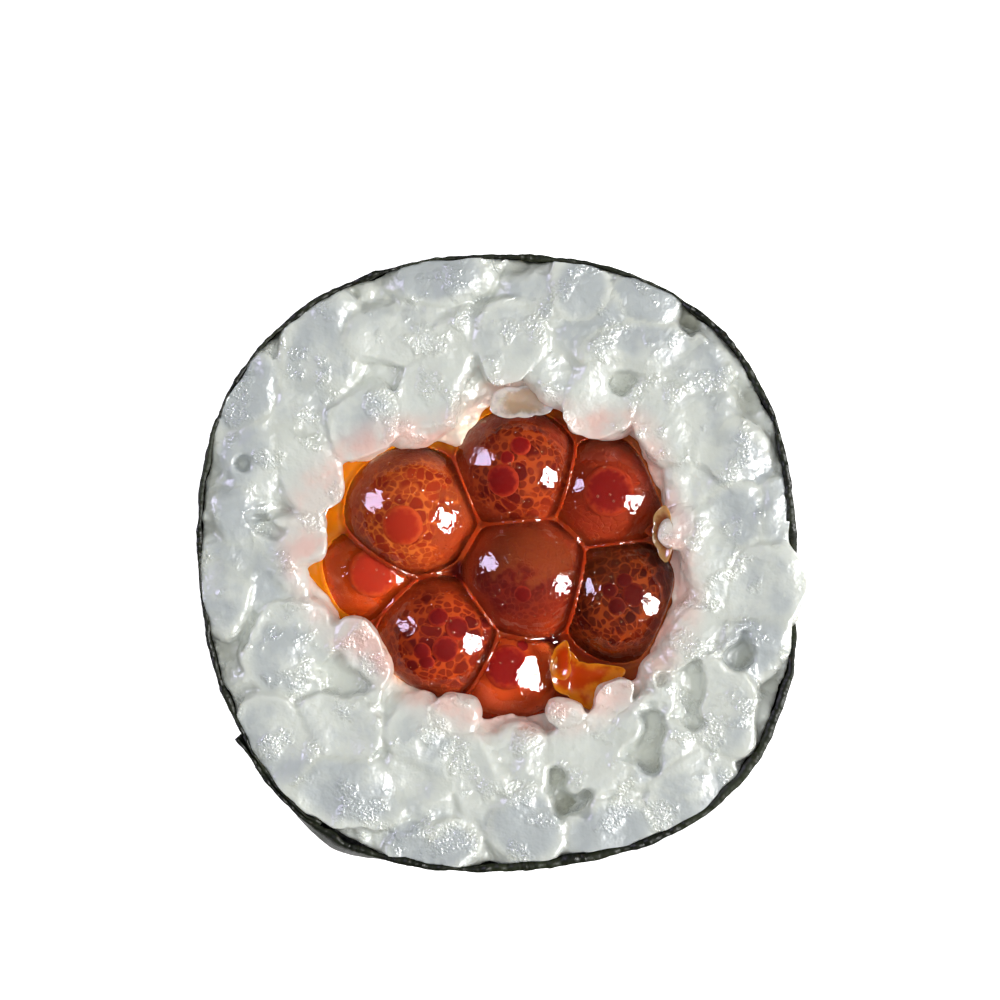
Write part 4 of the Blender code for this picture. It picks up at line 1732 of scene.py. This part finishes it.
    def build_crust(self, face: Face, material: Material) -> None:
        """Builds the grains of one cut face, half melted together over the ring's end.

        Args:
            face: The cut face.
            material: The rice's material.
        """
        upper = face is Face.UPPER
        grains = self.top_layer(upper)
        deeper = self.under_layer(upper)
        if upper:
            deeper = self.clear_ones(deeper)
            for x, y, length, width, turn in self.lobes:
                centre = np.array((x, y, self.roll.height - 0.25 - width / 2))
                deeper.append(Grain(centre, length, width, width, math.radians(turn), 0.1, 0.05))
        grains = grains + deeper
        shells = mesh_from("crust", *stacked([self.grain_shells(grains, material), self.bed(upper)]))
        skin = self.bench.melted(shells, self.voxel if upper else self.foot_voxel, 2)
        sizes = {"Lump Size": 1.5, "Lump Height": 0.2, "Fine Size": 0.5, "Fine Height": 0.07, "Material": material}
        skin = self.bench.run_tree(skin, "relief", sizes)
        places = self.pressed_by_roe(self.cut_flush(points_of(skin), upper), self.clutches[face])
        places = self.kept_in(places)
        places[:, 2] = np.clip(places[:, 2], 0.0, self.roll.height)
        set_points(skin, places)
        self.keep_values(skin, grains, upper)
        piece = self.bench.finished(f"rice_{face.name.lower()}", skin, material)
        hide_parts("rice")

    def build(self) -> None:
        """Builds and dresses the rice."""
        material = self.finish.material()
        for face in Face:
            self.build_crust(face, material)
        places, faces = self.ring_body(self.crust - 0.3, self.roll.height - self.crust + 0.3, 160, 24)
        body = mesh_from("rice_body", places, faces)
        # The hidden body takes 0.3 for every value, its painted shade included.
        for name in ("tone", "depth", "blush", "outer", "heart", "crease"):
            set_value(body, name, np.full(len(places), 0.3))
        piece = self.bench.finished("rice_body", body, material)


@dataclass
class Seaweed:
    """The sheet round the rice, with its seam, its lip and its ragged cut edges."""

    roll: Roll
    bench: Workbench
    finish: SeaweedFinish = SeaweedFinish()
    lip: float = 0.16
    lip_arc: float = math.radians(2.6)
    top: float = 23.45
    foot: float = 0.3
    wave: float = 0.09
    rag: float = 0.16
    dip: float = 2.5
    dip_at: float = math.radians(-5.5)
    dip_arc: float = math.radians(16)
    columns: int = 900
    rows: int = 36
    crinkle: float = 0.07
    bulge: float = 0.5
    bulge_at: float = math.radians(-120)
    bulge_arc: float = math.radians(12)
    fray: float = 0.07
    swell: float = 0.3
    edge_depth: float = 1.2

    @staticmethod
    def line_noise(turned: float, *layers: Spot) -> float:
        """Gives the sum of noises along the sheet, each with its size, its waves a radian and its own line."""
        return sum(size * noise.noise(Vector((turned * waves, line, 0))) for size, waves, line in layers)

    def edge_wave(self, turned: float) -> float:
        """Gives the uneven line of the sheet's cut edges."""
        waves = math.sin(7 * turned) + 0.6 * math.sin(17 * turned + 1) + 0.4 * math.sin(31 * turned)
        return self.wave * waves + self.rag * self.line_noise(turned, (1, 40, 3.1), (0.7, 130, 7.7))

    def top_at(self, turned: float) -> float:
        """Gives the height of the sheet's upper edge."""
        away = abs(math.remainder(self.roll.seam + turned - self.dip_at, math.tau)) / self.dip_arc
        return self.top + self.edge_wave(turned) - self.dip * (1 - float(smoothstep(away)))

    def crinkles(self, outward: Array, heights: Array) -> Array:
        """Gives how far the sheet's face waves in and out.

        Args:
            outward: The direction out of the roll at this place along the sheet.
            heights: The heights of the places above one another.

        Returns:
            How far out each place moves.
        """
        places = [Vector((outward[0], outward[1], height / 16)) for height in heights]
        waves = [noise.noise(place * 9) + 0.5 * noise.noise(place * 27) for place in places]
        return self.crinkle * (np.array(waves) - 0.6)

    def ring(self, turned: float) -> Array:
        """Builds one upright ring of the sheet's points.

        Args:
            turned: How far it lies along the sheet from its seam, as an angle.

        Returns:
            The outer face's points from foot to top and the inner face's back down.
        """
        angle = self.roll.seam + turned
        foot = self.foot + abs(self.edge_wave(turned + 1.7))
        heights = np.linspace(foot, self.top_at(turned), self.rows)
        below, above = heights[-1] - heights, heights - heights[0]
        lip = self.lip * (1 - float(smoothstep(turned / self.lip_arc)))
        tucked = turned - math.tau + self.roll.tuck_ramp
        tuck = self.roll.thin_layer * float(smoothstep(tucked / self.roll.tuck_ramp))
        outward = np.array((math.cos(angle), math.sin(angle), 0))
        near_edge = smoothstep(1 - below / self.edge_depth) + smoothstep(1 - above / self.edge_depth)
        radii = self.roll.outside(angle) - self.roll.barrel_inset(heights) + lip - tuck
        frays = self.line_noise(turned, (1, 16, 1.3), (0.5, 50, 6.1))
        radii = radii + self.crinkles(outward, heights) + self.fray * frays * near_edge
        away = abs(math.remainder(angle - self.bulge_at, math.tau)) / self.bulge_arc
        radii = radii + self.bulge * (1 - float(smoothstep(away))) * smoothstep(below / 1.6)
        swell = 1 + self.line_noise(turned, (self.swell, 24, 8.8)) * near_edge
        inner = radii - float(self.roll.sheet_depth(angle)) * swell
        up = heights[:, None] * np.array((0, 0, 1))
        return np.vstack((radii[:, None] * outward + up, (inner[:, None] * outward + up)[::-1]))

    def build(self) -> None:
        """Builds and dresses the sheet."""
        turns = [(math.tau + self.roll.tuck) * column / self.columns for column in range(self.columns + 1)]
        sheet = lofted("nori_sheet", np.array([self.ring(turned) for turned in turns]), False)
        piece = self.bench.finished("nori_sheet", sheet, self.finish.material())
        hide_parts("nori")


@dataclass
class Roe:
    """The eggs of both cut faces: a clear jelly each, with the oil and its droplets inside."""

    clutch: Clutch
    bench: Workbench
    jelly_material: Material
    gap: float = 0.02
    sharpness: float = 34.0
    yolk_share: float = 0.8
    yolk_gap: float = 0.3
    yolk_sharpness: float = 18.0
    picture_to_yolk: float = 0.76
    disc_flatness: float = 0.3
    disc_sunk: float = 0.12
    bead_density: float = 1.3
    bead_from: float = 0.45

    def jelly(self, egg: Egg, levels: int) -> Shell:
        """Builds the outside of an egg.

        Args:
            egg: The egg.
            levels: How often the ball that it is shaped from is divided.

        Returns:
            Its points and faces.
        """
        directions, faces = ball(levels)
        reach = self.clutch.reach(egg, directions, self.gap, self.sharpness)
        return np.array(egg.centre) + directions * reach[:, None], faces

    def yolk_reach(self, egg: Egg, directions: Array) -> Array:
        """Gives the distance from an egg's middle to the surface of its oil."""
        return self.clutch.reach(egg, directions, self.yolk_gap, self.yolk_sharpness, self.yolk_share)

    def yolk(self, egg: Egg, levels: int) -> Shell:
        """Gives the points and faces of the oil inside an egg, shaped like the egg."""
        directions, faces = ball(levels)
        return np.array(egg.centre) + directions * self.yolk_reach(egg, directions)[:, None], faces

    def large_droplets(self, egg: Egg) -> tuple[Shell, Array]:
        """Builds the large droplets that the photo shows in an egg.

        Args:
            egg: The egg.

        Returns:
            The points and faces of all, and how near each point lies to a droplet's middle, as seen from outside.
        """
        directions, faces = ball(3)
        shells = []
        for x, y, radius in egg.discs:
            flat = np.array((x, y)) * self.picture_to_yolk / (sum(egg.half[:2]) / 2 * self.yolk_share)
            up = math.sqrt(max(0.05, 1 - float(flat @ flat))) * self.clutch.face.value
            outward = np.array((*flat, up))
            outward = outward / np.linalg.norm(outward)
            reach = self.yolk_reach(egg, outward[None])[0]
            middle = np.array(egg.centre) + outward * (reach - radius * self.disc_sunk)
            spin = np.array(Vector(outward).to_track_quat("Z", "Y").to_matrix())
            shells.append((middle + (directions * (radius, radius, radius * self.disc_flatness)) @ spin.T, faces))
        return stacked(shells), np.tile(directions[:, 2], len(shells))

    def build_egg(self, egg: Egg, node: str | None) -> None:
        """Builds and dresses one egg.

        Args:
            egg: The egg.
            node: The node that its jelly replaces, or None.
        """
        levels = 5 if self.clutch.face is Face.UPPER else 4
        mesh = mesh_from(egg.name, *self.jelly(egg, levels + 1))
        piece = self.bench.finished(f"{egg.name}_jelly", mesh, self.jelly_material)
        if node:
            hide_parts(node)
        centre = Vector(egg.centre) + self.bench.shift
        mesh = mesh_from(f"{egg.name}_oil", *self.yolk(egg, levels))
        oil = self.bench.finished(f"{egg.name}_oil", mesh, egg.oil.material(egg.name, centre))
        if not egg.discs:
            return
        shell, hearts = self.large_droplets(egg)
        mesh = mesh_from(f"{egg.name}_droplets", *shell)
        set_value(mesh, "heart", hearts)
        drops = self.bench.finished(f"{egg.name}_droplets", mesh, egg.disc.material(egg.name))

    def build_beads(self) -> None:
        """Builds the beads of juice on the tops of the eggs."""
        directions, _ = ball(4)
        shells = []
        for egg in self.clutch.eggs:
            places, faces = self.jelly(egg, 4)
            shells.append((places, [face for face in faces if directions[list(face), 2].min() > self.bead_from]))
        places, faces = stacked(shells)
        surface = bpy.data.meshes.new("egg_tops")
        surface.from_pydata(places.tolist(), [], faces)
        values = {"Density": self.bead_density, "Least Distance": 0.25, "Seed": 4, "Material": self.jelly_material}
        beads = self.bench.run_tree(surface, "beads", values)
        piece = self.bench.finished("juice_beads", beads, self.jelly_material)

    def build(self) -> None:
        """Builds and dresses the eggs."""
        for egg in self.clutch.eggs:
            self.build_egg(egg, egg.name if self.clutch.face is Face.UPPER else None)
        if self.clutch.face is Face.UPPER:
            self.build_beads()


@dataclass
class Juice:
    """The juice between the eggs: it fills their grooves and pools against the rice, in both cut faces."""

    roll: Roll
    clutches: dict[Face, Clutch]
    bench: Workbench
    cell: float = 0.08
    # Holes between three eggs, which the juice's finish paints dark as shade.
    gaps: tuple[tuple[float, float], ...] = ((-1.93, -0.48), (2.58, -4.03), (7.83, 1.83))
    shore: float = 3.5
    shore_cells: int = 16
    under_rice: float = 0.8
    level: float = 21.1
    fillet: float = 0.16
    sunk: float = 0.15
    least_film: float = 0.01
    lowest: float = 18.0

    def grid(self) -> tuple[Array, Array, Array]:
        """Lays a grid over the hole.

        Returns:
            The grid's X and Y, and which of its points lie in the hole or just under the rice.
        """
        reach = max(self.roll.hole_radii) + self.under_rice + 2 * self.cell
        line = np.arange(-reach, reach, self.cell)
        x, y = np.meshgrid(line + self.roll.hole_centre[0], line + self.roll.hole_centre[1], indexing="ij")
        return x, y, self.roll.hole_gap(x, y) < self.under_rice

    def blurred(self, heights: Array) -> Array:
        """Softens a height field over the fillet's width.

        Args:
            heights: The height at each grid point.

        Returns:
            The soft heights.
        """
        reach = int(3 * self.fillet / self.cell)
        steps = np.arange(-reach, reach + 1) * self.cell
        weights = np.exp(-0.5 * (steps / self.fillet) ** 2)
        weights = weights / weights.sum()
        for axis in (0, 1):
            padded = np.pad(heights, [(reach, reach) if axis == own else (0, 0) for own in (0, 1)], mode="edge")
            heights = np.apply_along_axis(lambda row: np.convolve(row, weights, "valid"), axis, padded)
        return heights

    def surface(self, face: Face, x: Array, y: Array, inside: Array) -> Array:
        """Gives the height of the juice over the grid, as if the face looked up.

        Args:
            face: The cut face.
            x: The grid's X.
            y: The grid's Y.
            inside: Which points lie in the hole.

        Returns:
            One height for each grid point.
        """
        roe = Roe(self.clutches[face], self.bench, None)
        points, corners = stacked([roe.jelly(egg, 6) for egg in roe.clutch.eggs])
        if face is Face.LOWER:
            points[:, 2] = self.roll.height - points[:, 2]
        tree = BVHTree.FromPolygons(points.tolist(), corners)
        tops, feet = np.full(x.shape, -1.0), np.full(x.shape, FAR)
        for place in zip(*np.nonzero(inside)):
            hit = tree.ray_cast(Vector((x[place], y[place], FAR)), Vector((0, 0, -1)))[0]
            if hit:
                tops[place] = hit.z
                feet[place] = tree.ray_cast(Vector((x[place], y[place], -FAR)), Vector((0, 0, 1)))[0].z
        rise = 0.5 * smoothstep((self.roll.hole_gap(x, y) + 0.7) / 1.2)
        lumps = np.maximum(tops, self.level + rise)
        soft = self.blurred(lumps)
        away = np.where(soft > tops + self.least_film, 0.0, FAR)
        for _ in range(self.shore_cells):
            for axis, step in ((0, 1), (0, -1), (1, 1), (1, -1)):
                away = np.minimum(away, np.roll(away, step, axis) + self.cell)
        dive = np.maximum(np.minimum(soft, tops) - self.shore * np.minimum(away, 9.0), feet - self.sunk)
        return np.maximum(np.where(away == 0, soft, dive), self.lowest)

    def build(self) -> None:
        """Builds and dresses the juice."""
        x, y, inside = self.grid()
        number = np.full(x.shape, -1)
        number[inside] = np.arange(inside.sum())
        tops = self.surface(Face.UPPER, x, y, inside)
        feet = self.roll.height - self.surface(Face.LOWER, x, y, inside)
        upper, lower = (np.stack((x[inside], y[inside], heights[inside]), axis=1) for heights in (tops, feet))
        corners = np.stack((number[:-1, :-1], number[1:, :-1], number[1:, 1:], number[:-1, 1:]), axis=-1)
        cells = corners.reshape(-1, 4)
        cells = cells[(cells >= 0).all(axis=1)]
        count = len(upper)
        edges = np.concatenate([cells[:, [i, (i + 1) % 4]] for i in range(4)])
        keys = edges.min(axis=1) * count + edges.max(axis=1)
        _, first, uses = np.unique(keys, return_index=True, return_counts=True)
        rim = edges[first[uses == 1]]
        walls = np.stack((rim[:, 1], rim[:, 0], rim[:, 0] + count, rim[:, 1] + count), axis=1)
        faces = np.concatenate((cells, cells[:, ::-1] + count, walls)).tolist()
        mesh = mesh_from("roe_juice", np.vstack((upper, lower)), faces)
        self.keep_values(mesh)
        piece = self.bench.finished("roe_juice", mesh, JuiceFinish().material())
        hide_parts("roe_filling")

    def keep_values(self, mesh: Mesh) -> None:
        """Keeps at each point the values that the juice's finish reads: its height for painted shade, its thin yellow
        edge on the lit upper left, and painted shade on the right and in the holes between eggs.

        Args:
            mesh: The juice.
        """
        places = points_of(mesh)
        height = np.maximum(places[:, 2], self.roll.height - places[:, 2])
        # Painted shade mask by height: higher juice is painted lighter, lower juice darker.
        set_value(mesh, "level", smoothstep((height - 20.6) / 0.9))
        angle = np.arctan2(places[:, 1] - self.roll.hole_centre[1], places[:, 0] - self.roll.hole_centre[0])
        beyond = self.roll.hole_gap(places[:, 0], places[:, 1])
        near = smoothstep((beyond + 2.2) / 1.6)
        # Thin juice near the rim on the upper-left side only, which the finish paints yellow, partly as painted light
        # on the lit side.
        yellow = smoothstep((np.cos(angle - math.radians(150)) + 0.1) / 0.7)
        set_value(mesh, "thin", near * yellow)
        # Painted shade mask: juice near the rim on the right side is painted browner.
        brown = smoothstep((np.cos(angle - math.radians(5)) - 0.45) / 0.4)
        set_value(mesh, "brown", near * brown * 0.8)
        # Painted shade mask round the holes between eggs.
        away = [np.hypot(places[:, 0] - u, places[:, 1] - v) for u, v in self.gaps]
        set_value(mesh, "gap", 1 - smoothstep((np.min(away, axis=0) - 0.35) / 0.5))


@dataclass(frozen=True)
class Flap:
    """One scrap of skin: its middle, its outline as turns in degrees and radii, and how it curls."""

    centre: Spot
    outline: tuple[tuple[float, float], ...]
    curl: float = 0.4
    tilt: tuple[float, float] = (0.0, 0.0)
    fold: float = 0.16
    fold_size: float = 0.9
    thickness: float = 0.1
    seed: int = 1

    def mesh(self, name: str) -> Mesh:
        """Builds the scrap as a thin folded leaf, with its edge kept as a value.

        Args:
            name: The mesh's name.

        Returns:
            The leaf.
        """
        angles = np.linspace(0, math.tau, 140, endpoint=False)
        turns, radii = np.array(self.outline).T
        reach = np.interp(np.degrees(angles), turns, radii, period=360)
        reach = (reach + np.roll(reach, 1) + np.roll(reach, -1)) / 3
        spin = np.array(Euler((*map(math.radians, self.tilt), 0)).to_matrix())
        rows, edges = [], []
        for side in (0.5, -0.5):
            shares = np.linspace(0.03, 1.0, 16)
            for share in shares if side > 0 else shares[::-1]:
                x, y = share * reach * np.cos(angles), share * reach * np.sin(angles)
                folds = noise_at(x / self.fold_size, y / self.fold_size, self.seed * 3.7)
                height = self.curl * share**3 + self.fold * folds + side * self.thickness * (1 - 0.6 * share)
                rows.append(np.stack((x, y, height), axis=1) @ spin.T + np.array(self.centre))
                edges.append(np.full(len(angles), share))
        leaf = lofted(name, np.array(rows), False)
        set_value(leaf, "edge", np.concatenate(edges))
        return leaf


@dataclass
class Scraps:
    """The torn skin of a burst egg and the clear scraps of skin that lie against the rice."""

    bench: Workbench
    torn: SkinFinish = SkinFinish("torn_skin", (196, 66, 10), (230, 116, 18), 0.12)
    amber: SkinFinish = SkinFinish("clear_skin", (216, 184, 160), (232, 214, 198), 0.6)
    brown: SkinFinish = SkinFinish("brown_skin", (142, 82, 48), (188, 140, 98), 0.3)
    red: SkinFinish = SkinFinish("red_skin", (92, 22, 12), (130, 50, 24), 0.1)
    burst: Flap = Flap(
        (3.6, -5.6, 22.25),
        (
            (7, 2.82), (14, 1.9), (32, 1.0), (60, 0.75), (78, 0.95), (92, 1.2), (109, 1.3), (128, 1.2),
            (158, 1.05), (194, 1.0), (224, 1.1), (259, 1.05), (285, 1.5), (299, 2.1), (312, 1.7),
            (334, 1.55), (350, 1.9), (357, 2.6),
        ),
        0.25, (4, 3), 0.2, 1.1, 0.07, 2,
    )
    curl: Flap = Flap(
        (3.2, -4.95, 22.6),
        (
            (0, 0.45), (50, 0.75), (72, 1.25), (90, 0.95), (130, 0.6),
            (180, 0.55), (240, 0.85), (280, 0.9), (330, 0.6),
        ),
        0.3, (10, -22), 0.08, 0.9, 0.08, 5,
    )
    above: Flap = Flap(
        (1.35, 8.1, 22.75),
        ((0, 1.5), (25, 1.7), (60, 0.9), (120, 0.85), (165, 1.7), (195, 1.9), (240, 0.9), (300, 0.8), (335, 1.3)),
        0.04, (-20, 4), 0.1, 1.2, 0.04, 3,
    )
    beside: Flap = Flap(
        (8.25, 1.6, 23.25),
        ((0, 0.5), (50, 0.7), (80, 1.4), (100, 1.1), (150, 0.55), (200, 0.55), (250, 0.9), (275, 1.6), (310, 0.7)),
        0.2, (6, -24), 0.16, 0.8, 0.08, 4,
    )
    corner: Flap = Flap(
        (8.1, 1.7, 22.4),
        ((0, 0.5), (60, 0.9), (90, 0.5), (150, 0.45), (190, 0.9), (240, 0.45), (300, 0.75)),
        0.25, (-10, 12), 0.16, 0.7, 0.08, 6,
    )

    def build(self) -> None:
        """Builds and dresses the scraps."""
        finishes = (self.torn, self.amber, self.brown, self.red)
        torn, amber, brown, red = (finish.material() for finish in finishes)
        for name, flap, material in (
            ("burst_skin_leaf", self.burst, torn),
            ("burst_skin_curl", self.curl, torn),
            ("clear_skin_above", self.above, amber),
            ("clear_skin_beside", self.beside, brown),
            ("red_skin_corner", self.corner, red),
        ):
            piece = self.bench.finished(name, flap.mesh(name), material)
            if material is torn:
                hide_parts("burst_skin")


@dataclass(frozen=True)
class Lamp:
    """A softbox: where it stands, how far off, its size, its power and its colour."""

    name: str
    off_axis: float
    around: float
    distance: float
    size: tuple[float, float]
    watts: float
    colour: Colour
    in_gloss: bool = True
    in_matt: bool = True
    round_edge: bool = False


@dataclass
class Studio:
    """The pale floor, the soft lights and the camera that looks straight down."""

    roll: Roll
    shift: Vector
    photo_width: float = 50.0
    camera_height: float = 250.0
    sensor: float = 36.0
    middle: tuple[float, float] = (0.025, 3.175)
    world: float = 0.3
    floor_half: float = 600.0
    floor_drop: float = 0.05
    floor_grey: float = 0.85
    floor_glow: float = 0.9
    lamps: tuple[Lamp, ...] = (
        Lamp("key", 58, -12, 260, (110, 130), 0.36, (255, 252, 248), False),
        Lamp("key_shine", 58, -12, 240, (100, 120), 3.6, (255, 255, 255), True, False),
        Lamp("side_shine", 66, 162, 240, (90, 150), 1.15, (222, 214, 255), True, False, True),
        Lamp("fill", 0, 0, 420, (520, 520), 1.25, (255, 255, 255), False),
    )

    def build(self) -> None:
        """Builds the stage, the lights and the camera."""
        scene = bpy.context.scene
        scene.view_settings.view_transform = "Standard"
        world = bpy.data.worlds.new("studio")
        world.use_nodes = True
        background = world.node_tree.nodes["Background"]
        background.inputs["Strength"].default_value = self.world
        background.inputs["Color"].default_value = WHITE
        scene.world = world
        world.cycles_visibility.glossy = False
        self.build_floor()
        top = (Vector((0, 0, self.roll.height)) + self.shift) * MILLIMETRE
        for lamp in self.lamps:
            self.build_lamp(lamp, top)
        camera = bpy.data.objects.new("camera", bpy.data.cameras.new("camera"))
        camera.data.sensor_width = self.sensor
        camera.data.lens = self.sensor * self.camera_height / self.photo_width
        camera.data.clip_start = 0.01
        camera.data.clip_end = 10.0
        camera.location = top + Vector((*self.middle, self.camera_height)) * MILLIMETRE
        scene.collection.objects.link(camera)
        scene.camera = camera

    def build_floor(self) -> None:
        """Builds the pale floor, a hair below the roll's foot."""
        mesh = bpy.data.meshes.new("floor")
        sides = ((-1, -1), (1, -1), (1, 1), (-1, 1))
        half, level = self.floor_half * MILLIMETRE, -self.floor_drop * MILLIMETRE
        corners = [(x * half, y * half, level) for x, y in sides]
        mesh.from_pydata(corners, [], [(0, 1, 2, 3)])
        floor = Workbench.placed("floor", mesh)
        graph, shader, _ = new_material("white_floor")
        shader.inputs["Base Color"].default_value = (self.floor_grey, self.floor_grey, self.floor_grey, 1)
        shader.inputs["Roughness"].default_value = 0.9
        shader.inputs["Emission Color"].default_value = WHITE
        shader.inputs["Emission Strength"].default_value = self.floor_glow
        mesh.materials.append(graph.material)

    @staticmethod
    def build_lamp(lamp: Lamp, target: Vector) -> None:
        """Builds one softbox that faces the roll.

        Args:
            lamp: The softbox.
            target: The middle of the upper cut face, in metres.
        """
        off, around = math.radians(lamp.off_axis), math.radians(lamp.around)
        away = Vector((math.sin(off) * math.cos(around), math.sin(off) * math.sin(around), math.cos(off)))
        light = bpy.data.lights.new(lamp.name, "AREA")
        light.shape = "ELLIPSE" if lamp.round_edge else "RECTANGLE"
        light.size, light.size_y = (side * MILLIMETRE for side in lamp.size)
        light.energy = lamp.watts
        light.color = tint(lamp.colour)[:3]
        body = bpy.data.objects.new(lamp.name, light)
        body.location = target + away * lamp.distance * MILLIMETRE
        body.rotation_mode = "QUATERNION"
        body.rotation_quaternion = away.to_track_quat("Z", "Y")
        body.visible_camera = False
        body.visible_glossy = lamp.in_gloss
        body.visible_diffuse = lamp.in_matt
        body.visible_transmission = lamp.in_matt
        bpy.context.scene.collection.objects.link(body)


def upper_eggs() -> list[Egg]:
    """Gives the eggs of the upper cut face, each with its own look.

    Returns:
        The eggs.
    """
    return [
        Egg(
            "egg_upper_left", (-4.45, 2.60, 20.9), (3.45, 3.40, 3.05),
            YolkFinish((162, 82, 36), (94, 24, 16), (130, 44, 24), (118, 49, 29), (112, 48, 28), 0.75,
                       0.6, 0.36, bare_side=(1.0, -0.3, 0.2), bare_from=0.75),
            DiscFinish((126, 34, 22), (146, 58, 30)), ((-0.6, -1.0, 1.0),),
        ),
        Egg(
            "egg_upper_middle", (0.90, 4.70, 20.9), (3.25, 3.20, 3.00),
            YolkFinish((126, 50, 22), (58, 8, 9), (80, 15, 12), (108, 38, 20), (112, 41, 25)),
            DiscFinish((90, 12, 14), (124, 36, 22)), ((-1.0, -0.75, 0.8), (0.2, 1.6, 0.5), (-0.7, 0.8, 0.35)),
        ),
        Egg(
            "egg_upper_right", (5.40, 3.40, 20.4), (3.05, 3.20, 2.95),
            YolkFinish(plain=(114, 38, 22), rim=(124, 52, 26), rim_share=0.6, bare_from=-2.0),
            DiscFinish((92, 15, 15), (126, 42, 24)), ((0.1, 0.3, 1.25),),
        ),
        Egg(
            "egg_left", (-6.55, -0.50, 19.9), (2.90, 2.75, 2.70),
            YolkFinish(plain=(160, 62, 20), rim=(186, 84, 22), bare_from=-2.0),
            DiscFinish((132, 36, 24), (150, 56, 28)), ((0.2, 0.0, 1.2),),
        ),
        Egg(
            "egg_centre", (1.40, -0.70, 21.1), (3.40, 3.35, 3.00),
            YolkFinish((92, 28, 20), (70, 12, 13), (82, 20, 16), (98, 40, 22), (110, 38, 22), 0.75,
                       0.5, 0.3, bare_side=(0.1, 0.8, 0.3), bare_from=0.3),
            DiscFinish((78, 10, 12), (104, 28, 20)), ((-0.35, -1.2, 0.42),),
        ),
        Egg(
            "egg_right", (6.05, -1.80, 20.7), (3.15, 3.35, 2.95),
            YolkFinish((104, 42, 17), (42, 7, 7), (58, 12, 10), (52, 21, 12), (78, 34, 16), 0.5, shade_share=0.6),
            DiscFinish((60, 9, 10), (84, 26, 16)),
            ((0.95, 0.3, 0.6), (-0.2, -0.5, 0.45), (-0.7, 0.6, 0.4), (0.3, 1.3, 0.4)),
        ),
        Egg(
            "egg_lower_left", (-3.00, -3.80, 20.8), (3.30, 3.25, 3.00),
            YolkFinish((138, 52, 22), (64, 9, 11), (86, 17, 14), (122, 43, 20), (122, 46, 20)),
            DiscFinish((84, 12, 15), (120, 34, 20)),
            ((-0.1, 1.5, 0.5), (1.2, 0.75, 0.6), (0.4, -0.7, 0.65), (-1.2, -0.85, 0.45), (-0.9, -1.55, 0.4)),
        ),
        Egg(
            "egg_lower_middle", (0.50, -5.50, 20.0), (3.00, 2.80, 2.80),
            YolkFinish(plain=(162, 62, 28), rim=(204, 98, 54), bare_from=-2.0, shade_share=0.08),
            DiscFinish((102, 17, 18), (134, 42, 24)), ((-0.15, 0.35, 1.1), (0.85, 1.7, 0.3)), 0.9,
        ),
    ]


def lower_eggs(roll: Roll) -> list[Egg]:
    """Gives the eggs of the lower cut face: one in the middle and a ring round it.

    Args:
        roll: The roll that they fill.

    Returns:
        The eggs.
    """
    draw = random.Random(RiceHeap.seed + 5)
    x, y = roll.hole_centre
    around, radius, ring = 6, 3.2, 5.6
    places = [("egg_foot_middle", (x + 0.4, y - 0.3, 3.7), radius)]
    for index in range(around):
        angle = math.tau * (index + draw.uniform(-0.1, 0.1)) / around
        half = radius + draw.uniform(-0.3, 0.0)
        out = min(ring + draw.uniform(-0.2, 0.3), float(roll.hole(angle)) - half - 0.3)
        centre = (x + out * math.cos(angle), y + out * math.sin(angle), 0.5 + half + draw.uniform(0.0, 0.6))
        places.append((f"egg_foot_{index + 1}", centre, half))
    return [
        Egg(name, centre, (half, half, half), discs=((draw.uniform(-1, 1), draw.uniform(-1, 1), 0.7),))
        for name, centre, half in places
    ]


def frame_shift(clutch: Clutch) -> Vector:
    """Gives how far the frame's origin lies from the roll's middle, read from the solid middle egg.

    Args:
        clutch: The eggs of the upper face.

    Returns:
        The shift in millimetres.
    """
    egg = next(egg for egg in clutch.eggs if egg.name == "egg_centre")
    directions, _ = ball(3)
    reach = clutch.reach(egg, directions, clutch.solid_gap, clutch.solid_sharpness)
    places = np.array(egg.centre) + directions * reach[:, None]
    low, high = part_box("egg_centre")
    own = (places.min(axis=0) + places.max(axis=0)) / 2
    return (Vector(low) + Vector(high)) / 2 * PER_METRE - Vector(own)


def main() -> None:
    """Builds the maki round its frame, with its stage, lights and camera."""
    logging.basicConfig(level=logging.INFO, format="%(message)s")
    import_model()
    make_shader_groups()
    roll = Roll()
    upper = Clutch(roll, Face.UPPER, upper_eggs())
    lower = Clutch(roll, Face.LOWER, lower_eggs(roll))
    bench = Workbench(frame_shift(upper))
    LOG.info("shift: %s", tuple(round(value, 4) for value in bench.shift))
    clutches = {Face.UPPER: upper, Face.LOWER: lower}
    RiceHeap(roll, clutches, bench).build()
    Seaweed(roll, bench).build()
    jelly = JellyFinish().material()
    for clutch in clutches.values():
        Roe(clutch, bench, jelly).build()
    Juice(roll, clutches, bench).build()
    Scraps(bench).build()
    Studio(roll, bench.shift).build()


if __name__ == "__main__":
    main()
